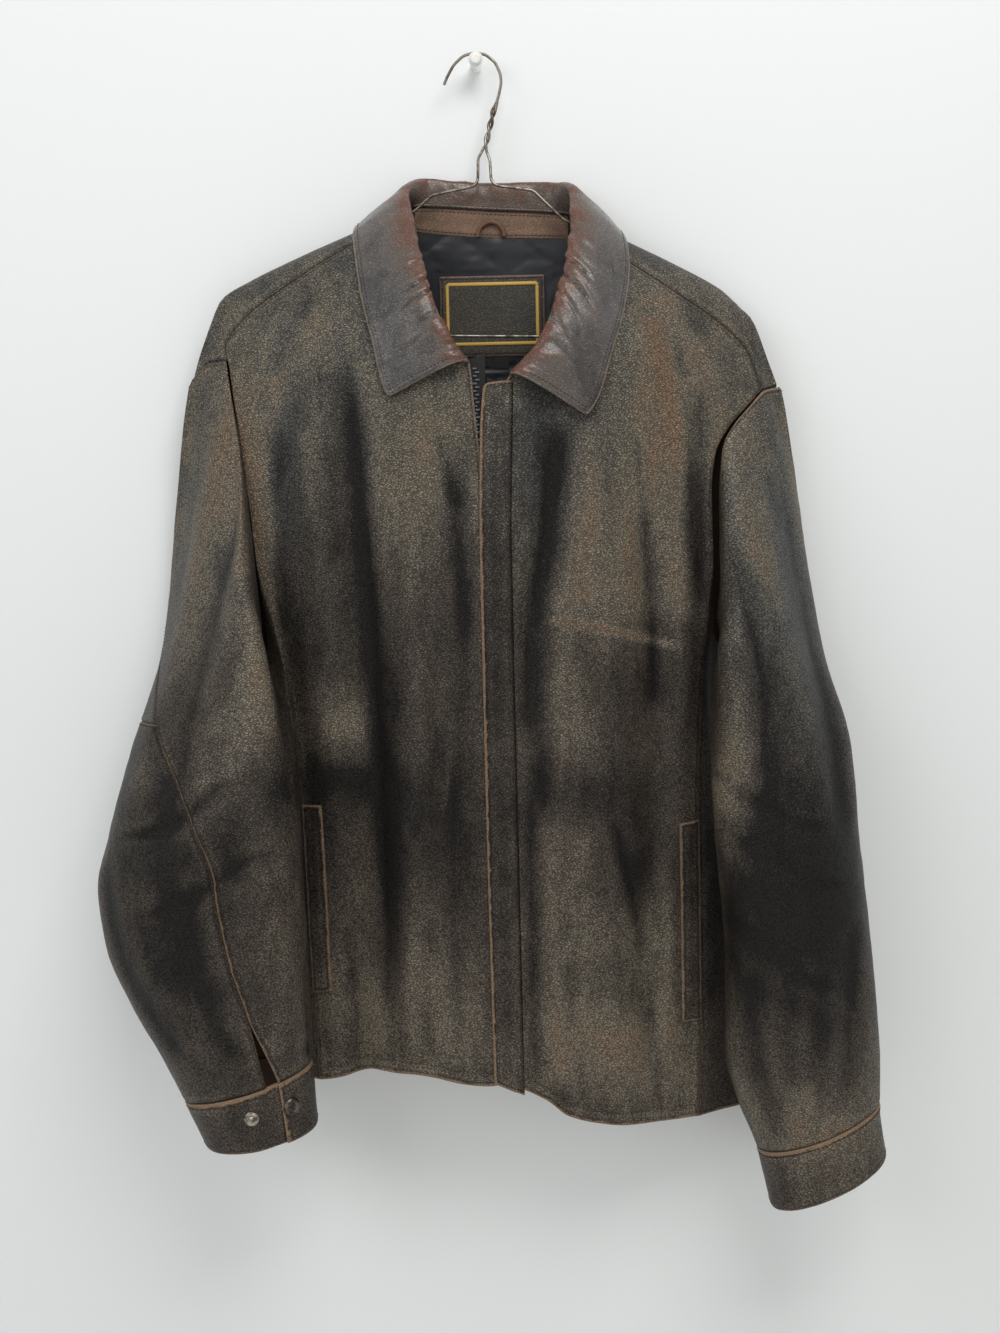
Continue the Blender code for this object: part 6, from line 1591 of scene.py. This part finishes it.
placketShape = {
    "left": [(-0.84, -0.0036), (-0.6, -0.005), (-0.4, -0.005), (-0.33, -0.0036), (-0.29, -0.0018),
             (-0.262, 0.0006)],
    "right": [(-0.84, 0.021), (-0.4, 0.02), (-0.262, 0.024)],
    "rows": (-0.07, 9.98), "length": 0.575, "width": 0.0255, "spacing": 0.0024, "across": 0.0013,
    "topFrom": -0.3, "topZ": -0.2672, "topRise": 0.0022, "corner": 0.0048, "stand": 0.0008, "wave": 0.7,
    "groove": 0.0168, "grooveDepth": 0.0002, "grooveWidth": 0.0012,
}
zipShape = {
    "right": (-0.015, 0.0022, 10.15), "left": (0.0034, 0.02, 9.9), "from": 0.1, "length": 0.57,
    "pitch": 0.0029, "tooth": (0.0034, 0.0015, 0.0011), "topTooth": -0.2555, "lowTooth": -0.4,
    "teethX": (-0.006, -0.004), "teethOut": 0.0007,
}
weltShape = {"width": 0.0168, "length": 0.16, "right": (1.47, 4.32), "left": (1.47, 4.4)}
narrowFine = (0.0004, 0.0009, 0.0016)  # the mesh's first lines beside the edges of a narrow strip


def frontLines(side, rows, columns):
    # lines across a front at these rows, from one of its columns to another
    table = frontGrid(side, np.arange(0, 10.76, 0.25), np.linspace(0, 1, 10))
    index = np.clip(np.floor(rows * 4).astype(int), 0, len(table) - 2)
    rest = (rows * 4 - index)[:, None]
    return [mix(table[index, at], table[index + 1, at], rest) for at in columns]


def onFront(lines, left, right, shares):
    # points of a strip between two edges given by their x on each line
    start, end = lines
    low, high = (left - start[:, 0]) / (end - start)[:, 0], (right - start[:, 0]) / (end - start)[:, 0]
    share = low[:, None] + (high - low)[:, None] * shares[None]
    place = mix(start[:, None], end[:, None], share[..., None])
    return frontPoint(place[..., 0], place[..., 2])


def levelTop(grid, shares):
    # the strip's top drawn down to its own line, which rises a little to the right
    low, goal = placketShape["topFrom"], placketShape["topZ"] + placketShape["topRise"] * shares
    z = grid[..., 2]
    squeezed = low + (z - low) * (goal - low) / (z[-1] - low)
    return frontPoint(grid[..., 0], np.where(z > low, squeezed, z))


rows = mix(*placketShape["rows"], cuts(placketShape["length"], placketShape["spacing"]))
lines = frontLines("left", rows, (0, 1))
shares = cuts(placketShape["width"], placketShape["across"], narrowFine)
left, right = (column(placketShape[edge], lines[0][:, 2]) for edge in ("left", "right"))
grid = roundCorner(levelTop(onFront(lines, left, right, shares), shares), "tl", placketShape["corner"])
groove = placketShape["groove"] - grid[..., 0]
down = np.arange(len(grid))[:, None] * placketShape["spacing"] + 0 * groove
waves = cloud(np.stack([0 * down, 0 * down, down], axis=-1), 0.017, 83)
free = ease(groove / 0.004)
push = bodyRelief(grid) + layer + placketShape["stand"] * free * (1 + placketShape["wave"] * waves)
push -= placketShape["grooveDepth"] * np.exp(-((groove / placketShape["grooveWidth"]) ** 2))
push += cloud(grid, 0.0065, 91) * 0.00022 * free
face, normal = sewn(
    "placket", grid, frontNormal(grid), push=push,
    rolls={"r": (0.0013, 0.003), "l": (0.0004, 0.0016), "t": endRoll, "b": (0.0004, 0.0016)},
    raw={"l": (0.85, 0.0018), "t": (0.8, 0.0016), "b": (0.8, 0.0016)}, extra=-0.25,
    rests=("front_left", "front_right"))
keepStitch(face, normal, "r", 0.003, (0.005, 0.985))
keepStitch(face, normal, "l", 0.0052, (0.01, 0.98))

for side in sides:
    low, high = weltShape[side]
    rows = mix(low, high, cuts(weltShape["length"], 0.0026))
    lines = frontLines(side, rows, (9, 8))
    start = lines[0][:, 0]
    shares = cuts(weltShape["width"], 0.0014, narrowFine)
    grid = onFront(lines, start - sides[side] * gap, start - sides[side] * weltShape["width"], shares)
    cushion = np.sin(np.pi * shares)[None] * (cloud(grid, 0.009, 95, (2.0, 1, 0.8)) * 0.00045 + 0.0007)
    push = bodyRelief(grid) + layer + cushion
    face, normal = sewn(
        f"welt_{side}", grid, frontNormal(grid), push=push, rolls=edges(endRoll),
        raw=edges((0.7, 0.0014), "rtbl"), extra=-0.3, rests=("front_" + side,))
    for edge, trim in (("r", (0.02, 0.98)), ("l", (0.02, 0.98)), ("t", (0.15, 0.85)), ("b", (0.15, 0.85))):
        keepStitch(face, normal, edge, 0.0028, trim)

for side in sides:
    left, right, top = zipShape[side]
    rows = mix(zipShape["from"], top, cuts(zipShape["length"], 0.005))
    lines = frontLines(side, rows, (0, 1))
    grid = onFront(lines, left + 0 * rows, right + 0 * rows, cuts(right - left, 0.002, (0.0005,)))
    sewn(f"zip_tape_{side}", grid, frontNormal(grid), "zip_tape", ("tape", "tape"), thickness=cloth,
         push=bodyRelief(grid) - (layer + gap / 2), rolls=edges((0.0002, 0.001)))


def boxes(name, centres, axes, size, finish, slotName):
    # small blocks with trimmed corners: one on each centre, along its own three axes
    a, b, c = np.array(size) / 2
    levels = ((-c, 1), (c * 0.5, 1), (c, 0.72))  # height, and how wide the block is there
    corners = ((-1, -1), (1, -1), (1, 1), (-1, 1))
    shape = np.array([(x * a * s, y * b * s, w) for w, s in levels for x, y in corners])
    faces = [[3, 2, 1, 0], [8, 9, 10, 11]]
    for low in (0, 4):
        faces += [[low + n, low + (n + 1) % 4, low + 4 + (n + 1) % 4, low + 4 + n] for n in range(4)]
    points = np.einsum("pi,nij->npj", shape, axes) + centres[:, None]
    return settle(meshPiece(name, *repeated(points, faces), [finish], smooth=False), slotName)


z = np.arange(zipShape["topTooth"], zipShape["lowTooth"], -zipShape["pitch"])
x = np.where(np.arange(len(z)) % 2 == 0, *zipShape["teethX"])
grid = frontPoint(x, z)
up = slopeNormal(frontY, x, z, 1)
across = unit(np.cross(up, [0.0, 0.0, 1.0]) * -1.0)
frames = np.stack([across, np.cross(up, across), up], axis=1)
centres = grid + up * (bodyRelief(grid) - layer - gap / 2 + zipShape["teethOut"])[:, None]
boxes("zip_teeth", centres, frames, zipShape["tooth"], finishes["teeth"], "zip_tape")
print("placket, welts and zip done")

# inside the back neck

neckDepth = {  # in front of the back panel
    "facing": 0.0031, "lining": 0.0027, "label": 0.004, "tab": 0.0036, "loop": 0.0049, "cord": 0.0042,
}
facingLow = [
    (-0.0535, -0.1338), (-0.0331, -0.1367), (0.0084, -0.1401), (0.0417, -0.1412), (0.0735, -0.1426),
]
facingShape = {"width": 0.127, "height": 0.022, "drop": 0.0019, "roll": (0.0005, 0.002)}
liningShape = {
    "left": -0.06, "right": 0.077, "bottom": -0.34, "height": 0.2, "quilt": 0.046, "slant": 0.82,
    "puff": 0.00117, "soft": 0.0085, "gather": 0.0006, "gatherWidth": 0.008, "wave": 0.0008,
}
labelEdges = {"left": -0.0346, "right": 0.0528, "bottom": -0.2372, "top": -0.1713}
sizeTab = {"left": -0.003, "right": 0.0068, "bottom": -0.246, "top": -0.2376}
careTab = {"left": 0.0095, "right": 0.0218, "bottom": -0.248, "top": -0.2376}
tabThickness = 0.0006
labelFrame = {"left": -0.0285, "right": 0.0467, "bottom": -0.2268, "top": -0.178, "corner": 0.0016}
loopShape = {"x": 0.0092, "z": -0.14, "half": 0.011, "rise": 0.0121, "radius": 0.0019, "steps": 34}
cordShape = {"radius": 0.0011, "drop": 0.0003, "beyond": 0.001, "steps": 60}
forward = np.array([0.0, -1.0, 0.0])


def neckGrid(x, low, high, depth, rows):
    z = mix(low + 0 * x[None], high + 0 * x[None], rows[:, None])
    x = x[None] + 0 * z
    return np.stack([x, backY(x, z) - depth, z], axis=-1)


def neckPiece(name, grid, slotName, coat, push, thickness=cloth, **more):
    normal = unit(0 * grid + forward)
    return sewn(name, grid, normal, slotName, (coat, coat), push, thickness=thickness, **more)


x = mix(facingLow[0][0], facingLow[-1][0], cuts(facingShape["width"], 0.0016))
top = ridge(x)[0] - facingShape["drop"]
grid = neckGrid(x, column(facingLow, x), top, neckDepth["facing"], cuts(facingShape["height"], 0.0014))
push = np.maximum(lumps(grid, 61, 0.35), -0.0002) + 0.00015
face, normal = neckPiece(
    "neck_facing", grid, "neck_leather", "neck", push, leather, rolls=edges(facingShape["roll"], "bt"),
    raw={"b": (0.5, 0.0014)})
keepStitch(face, normal, "b", 0.0022)
keepStitch(face, normal, "t", 0.003)

left, right = liningShape["left"], liningShape["right"]
x = mix(left, right, cuts(right - left, 0.0016))
rows = cuts(liningShape["height"], 0.0016)
grid = neckGrid(x, liningShape["bottom"], column(facingLow, x) - gap, neckDepth["lining"], rows)
# two crossing sets of slanting seams; between them the satin puffs up, and it gathers beside each seam
size = liningShape["quilt"]
across, down = grid[..., 0] / size, grid[..., 2] / (size * liningShape["slant"])
toSeam = [np.abs((across + way * down + 0.5) % 1 - 0.5) for way in (1, -1)]
nearest = np.minimum(*toSeam) * size * 0.7
push = liningShape["puff"] * (1 - np.exp(-((nearest / liningShape["soft"]) ** 1.3)))
gather = cloud(grid, 0.006, 65, (1.4, 1, 0.8)) * liningShape["gather"]
push += gather * np.exp(-nearest / liningShape["gatherWidth"])
push += cloud(grid, 0.014, 66, (1.3, 1, 1)) * liningShape["wave"]
underLabel = (grid[..., 0] > labelEdges["left"] - 0.004) & (grid[..., 0] < labelEdges["right"] + 0.004)
underLabel &= (grid[..., 2] < labelEdges["top"] + 0.004) & (grid[..., 2] > careTab["bottom"] - 0.002)
push = np.where(underLabel, np.minimum(push, 0.0001), push)
neckPiece("lining", grid, "lining", "lining", push, rolls={"b": (0.0, 0.002)})


def smallPiece(name, box, depth, coat, slotName, thickness, wave, lift=0.0, raw=None):
    # a flat rectangle that waves a little: wave is its size, seed and height
    x = mix(box["left"], box["right"], cuts(box["right"] - box["left"], 0.0012, (0.0004, 0.001)))
    rows = cuts(box["top"] - box["bottom"], 0.0012, (0.0004, 0.001))
    grid = neckGrid(x, box["bottom"], box["top"], neckDepth[depth], rows)
    push = cloud(grid, *wave[:2]) * wave[2] + lift
    return neckPiece(name, grid, slotName, coat, push, thickness, rolls=edges((0.0004, 0.0012)), raw=raw)


labelFace, labelNormal = smallPiece("label_patch", labelEdges, "label", "label", "label_leather", cloth,
                                    (0.018, 68, 0.00035), 0.0003, edges((0.8, 0.001)))
for edge in "lrbt":
    keepStitch(labelFace, labelNormal, edge, 0.0022)
for name, box in (("size_tab", sizeTab), ("care_tab", careTab)):
    smallPiece(name, box, "tab", "tab", "tab_cloth", tabThickness, (0.006, 69, 0.0002))

beyond = cordShape["beyond"]
x = mix(facingLow[0][0] - beyond, facingLow[-1][0] + beyond, np.linspace(0, 1, cordShape["steps"]))
z = ridge(x)[0] - cordShape["drop"]
y = backY(x, z) - neckDepth["cord"] + 0.00015 * np.sin(x * 900)
cord = tube("round_neck_seam", np.column_stack([x, y, z]), cordShape["radius"], finishes["collar"], 12)
settle(cord, "neck_leather", "neck_seam")

angle = np.linspace(0, np.pi, loopShape["steps"])
x = loopShape["x"] + loopShape["half"] * np.cos(angle)
z = loopShape["z"] + loopShape["rise"] * np.sin(angle)
points = np.column_stack([x, backY(x, z) - neckDepth["loop"], z])
twist = 1 + 0.05 * np.sin(np.arange(len(angle)) * 1.7)
loop = tube("round_hanger_loop", points, loopShape["radius"] * twist, finishes["cord"], 14)
settle(loop, "neck_leather", "hanger_loop")


def onLabel(x, z):
    # points of the patch's face at these places, between its grid's four nearest points
    rows = np.interp(z, labelFace[:, 0, 2], np.arange(len(labelFace)))
    columns = np.interp(x, labelFace[0, :, 0], np.arange(labelFace.shape[1]))
    low = np.floor(rows).astype(int).clip(0, len(labelFace) - 2)
    left = np.floor(columns).astype(int).clip(0, labelFace.shape[1] - 2)
    y = labelFace[..., 1]
    below, above = (mix(y[row, left], y[row, left + 1], columns - left) for row in (low, low + 1))
    return np.stack([x, mix(below, above, rows - low), z], axis=-1)


def frameLine(left, right, bottom, top, corner):
    # a rectangle with rounded corners, as even points
    parts = []
    for x, z, start in ((right, top, 0), (left, top, 90), (left, bottom, 180), (right, bottom, 270)):
        x += corner if x == left else -corner
        z += corner if z == bottom else -corner
        turn = np.radians(np.linspace(start, start + 90, 7))
        parts.append(np.column_stack([x + corner * np.cos(turn), z + corner * np.sin(turn)]))
    return evenly(np.concatenate([*parts, parts[0][:1]]), 360)


def evenly(points, count):
    # so many points at even steps along a path
    far = np.concatenate([[0], np.cumsum(np.linalg.norm(np.diff(points, axis=0), axis=-1))])
    at = np.linspace(0, far[-1], count)
    return np.stack([np.interp(at, far, row) for row in points.T], axis=-1)


line = onLabel(*frameLine(**labelFrame).T)
frameThreads = [(line, np.tile(forward, (len(line), 1)))]
settle(stitches("label_frame", frameThreads, finishes["gilt"], 0.0006, 0.0034, 0.0005, True), "label_leather")
settle(stitches("seam_threads", stitchLines, finishes["thread"]), "leather")
print("neck and stitches done")

# hanger and knob

wireShape = {
    "radius": 0.0012, "y": -0.0175, "armY": -0.0225, "leanTop": -0.074, "leanHeight": 0.03, "drop": 0.0048,
    "twistTop": (0.0137, -0.04), "twistBottom": (0.0052, -0.072), "turns": 1.5, "twistRadius": 0.00165,
    "cutEnd": (0.0024, 0.0, 0.0115), "inset": 3, "steps": 1500, "smoothing": 12,
    "hook": [(-0.0264, -0.0186), (-0.0235, -0.012), (-0.018, -0.003), (-0.01, 0.004), (-0.0005, 0.0062),
             (0.0085, 0.0043), (0.016, -0.002), (0.02, -0.011), (0.0205, -0.018), (0.0185, -0.027),
             (0.016, -0.0345)],
    "neckRight": [(0.0, -0.078), (-0.0004, -0.096), (-0.0035, -0.1005), (-0.039, -0.1074)],
    "neckLeft": [(0.0098, -0.079), (0.0103, -0.096), (0.014, -0.1005), (0.0446, -0.1052)],
    "armRight": [(-0.052, -0.1185), (-0.07, -0.1285)], "armLeft": [(0.0687, -0.1285), (0.087, -0.137)],
    "cornerRight": [(-0.204, -0.193), (-0.206, -0.205), (-0.198, -0.2155), (-0.186, -0.2168)],
    "cornerLeft": [(0.203, -0.2055), (0.205, -0.217), (0.197, -0.2262), (0.186, -0.227)],
}
knobProfile = [  # radius, distance from the wall
    (0.0, 0.025), (0.0022, 0.025), (0.0034, 0.0249), (0.0042, 0.0245), (0.0046, 0.0239), (0.0046, 0.0229),
    (0.0048, 0.0225), (0.0054, 0.0222), (0.0059, 0.0217), (0.006, 0.0211), (0.0058, 0.0205), (0.0052, 0.0201),
    (0.0046, 0.0198), (0.0046, 0.0), (0.0, 0.0),
]


def level(name, y=wireShape["armY"]):
    pairs = np.array(wireShape[name])
    return np.column_stack([pairs[:, 0], np.full(len(pairs), y), pairs[:, 1]])


def leaning(name):
    points = level(name, wireShape["y"])
    step = np.clip((wireShape["leanTop"] - points[:, 2]) / wireShape["leanHeight"], 0, 1)
    points[:, 1] = mix(wireShape["y"], wireShape["armY"], step)
    return points


along = np.linspace(0, 1, 24)
x, z = mix(np.array(wireShape["twistTop"]), np.array(wireShape["twistBottom"]), along[:, None]).T
strands = []
for start in (0.0, np.pi):
    angle = start + 2 * np.pi * wireShape["turns"] * along
    reach = wireShape["twistRadius"]
    strands.append(np.column_stack([x - reach * np.cos(angle), wireShape["y"] - reach * np.sin(angle), z]))
shoulder = backGrid(np.array([0.0, 16.0]), np.arange(25.0))[1] - [0.0, 0.0, wireShape["drop"]]
path = np.concatenate([
    level("hook", wireShape["y"]), strands[0], leaning("neckLeft"), level("armLeft"),
    shoulder[-acrossRows:-wireShape["inset"]], level("cornerLeft"), level("cornerRight")[::-1],
    shoulder[wireShape["inset"]:acrossRows], level("armRight")[::-1], leaning("neckRight")[::-1],
    strands[1][::-1], strands[1][:1] + np.array(wireShape["cutEnd"]),
])


def smoothPath(points, steps, times):
    # even points along the path, each then averaged with its neighbours so that the bends are round
    even = evenly(points, steps)
    for _ in range(times):
        even[1:-1] = (even[:-2] + 2 * even[1:-1] + even[2:]) / 4
    return even


def wireTube(name, points, radius, finish, count):
    # the section turns as little as it can from one point to the next
    ahead = unit(np.gradient(points, axis=0))
    up = [unit(np.cross(ahead[0], [0.0, 1.0, 0.0]))]
    for step in ahead[1:]:
        up.append(unit(up[-1] - step * (up[-1] @ step)))
    up = np.array(up)
    return closedTube(name, points, circles(points, up, np.cross(ahead, up), radius, count), finish)


path = smoothPath(path, wireShape["steps"], wireShape["smoothing"])
wire = wireTube("round_hanger", path, wireShape["radius"], finishes["wire"], 12)
settle(wire, "hanger_wire", "hanger")
overWall = [[1, 0, 0], [0, 0, -1], [0, 1, 0]]
knob = lathe("turned_wall_knob", knobProfile, finishes["knob"], (0, 0, 0), overWall, 48)
settle(knob, "knob_white", "wall_knob")
print("hanger and knob done")

# wall, floor and light

room = {
    "back": 0.0006, "low": -1.3, "high": 2.4, "side": 4, "near": -5, "far": 5, "roughness": 0.75,
    "wallColour": (229, 232, 233), "floorColour": (214, 213, 210),
}
light = {"colour": (1.0, 1.0, 0.99, 1.0), "strength": 0.42}
lamps = [  # name, place, width, height, watts, colour
    ("key", (0.5, -1.5, 1.35), 1.3, 0.9, 30.0, (1.0, 0.985, 0.96)),
    ("fill", (-1.5, -1.7, 0.5), 1.4, 1.4, 12.5, (0.985, 0.99, 1.0)),
    ("low", (0.2, -2.6, -0.7), 2.2, 1.2, 7.0, (1.0, 0.985, 0.955)),
    ("behind", (0.5, 2.4, -0.2), 2.0, 1.6, 34.0, (1.0, 1.0, 1.0)),
]
lampAim = (0.0, 0.0, -0.5)


def plate(name, colour, corners):
    # plain paint, seen only from the room's own side and lighting nothing from behind
    made, nodes = newMaterial(name + "Paint", linear(*colour), room["roughness"])[:2]
    kinds = ("ShaderNodeNewGeometry", "ShaderNodeMixShader", "ShaderNodeBsdfTransparent")
    geometry, choice, clear = (nodes.add(kind) for kind in kinds)
    painted = made.node_tree.nodes["Principled BSDF"]
    joins = ((geometry.outputs["Backfacing"], choice.inputs[0]), (painted.outputs[0], choice.inputs[1]),
             (clear.outputs[0], choice.inputs[2]),
             (choice.outputs[0], made.node_tree.nodes["Material Output"].inputs["Surface"]))
    for value, socket in joins:
        nodes.join(value, socket)
    mesh = bpy.data.meshes.new("room_" + name)
    mesh.from_pydata(corners, [], [(0, 1, 2, 3)])
    mesh.materials.append(made)
    piece = link(bpy.data.objects.new("room_" + name, mesh))
    piece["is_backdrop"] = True
    return piece


back, low, high, side = room["back"], room["low"], room["high"], room["side"]
near, far = room["near"], room["far"]
wallCorners = [(-side, back, low), (side, back, low), (side, back, high), (-side, back, high)]
floorCorners = [(-side, near, low), (side, near, low), (side, far, low), (-side, far, low)]
wall = plate("wall", room["wallColour"], wallCorners)
wall.visible_shadow = False  # so that the lamp behind it reaches the jacket's back
plate("floor", room["floorColour"], floorCorners)

for name, place, width, height, watts, colour in lamps:
    data = bpy.data.lights.new(name, "AREA")
    data.shape = "RECTANGLE"
    data.size, data.size_y, data.energy, data.color = width, height, watts, colour
    lamp = link(bpy.data.objects.new(name, data))
    lamp.location = place
    lamp.rotation_euler = (Vector(lampAim) - Vector(place)).to_track_quat("-Z", "Y").to_euler()
world = bpy.data.worlds.new("studio")
world.use_nodes = True
background = world.node_tree.nodes["Background"].inputs
background["Color"].default_value, background["Strength"].default_value = light["colour"], light["strength"]
bpy.context.scene.world = world
bpy.context.scene.view_settings.view_transform = "Standard"
print("room and lights done")

low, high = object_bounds()
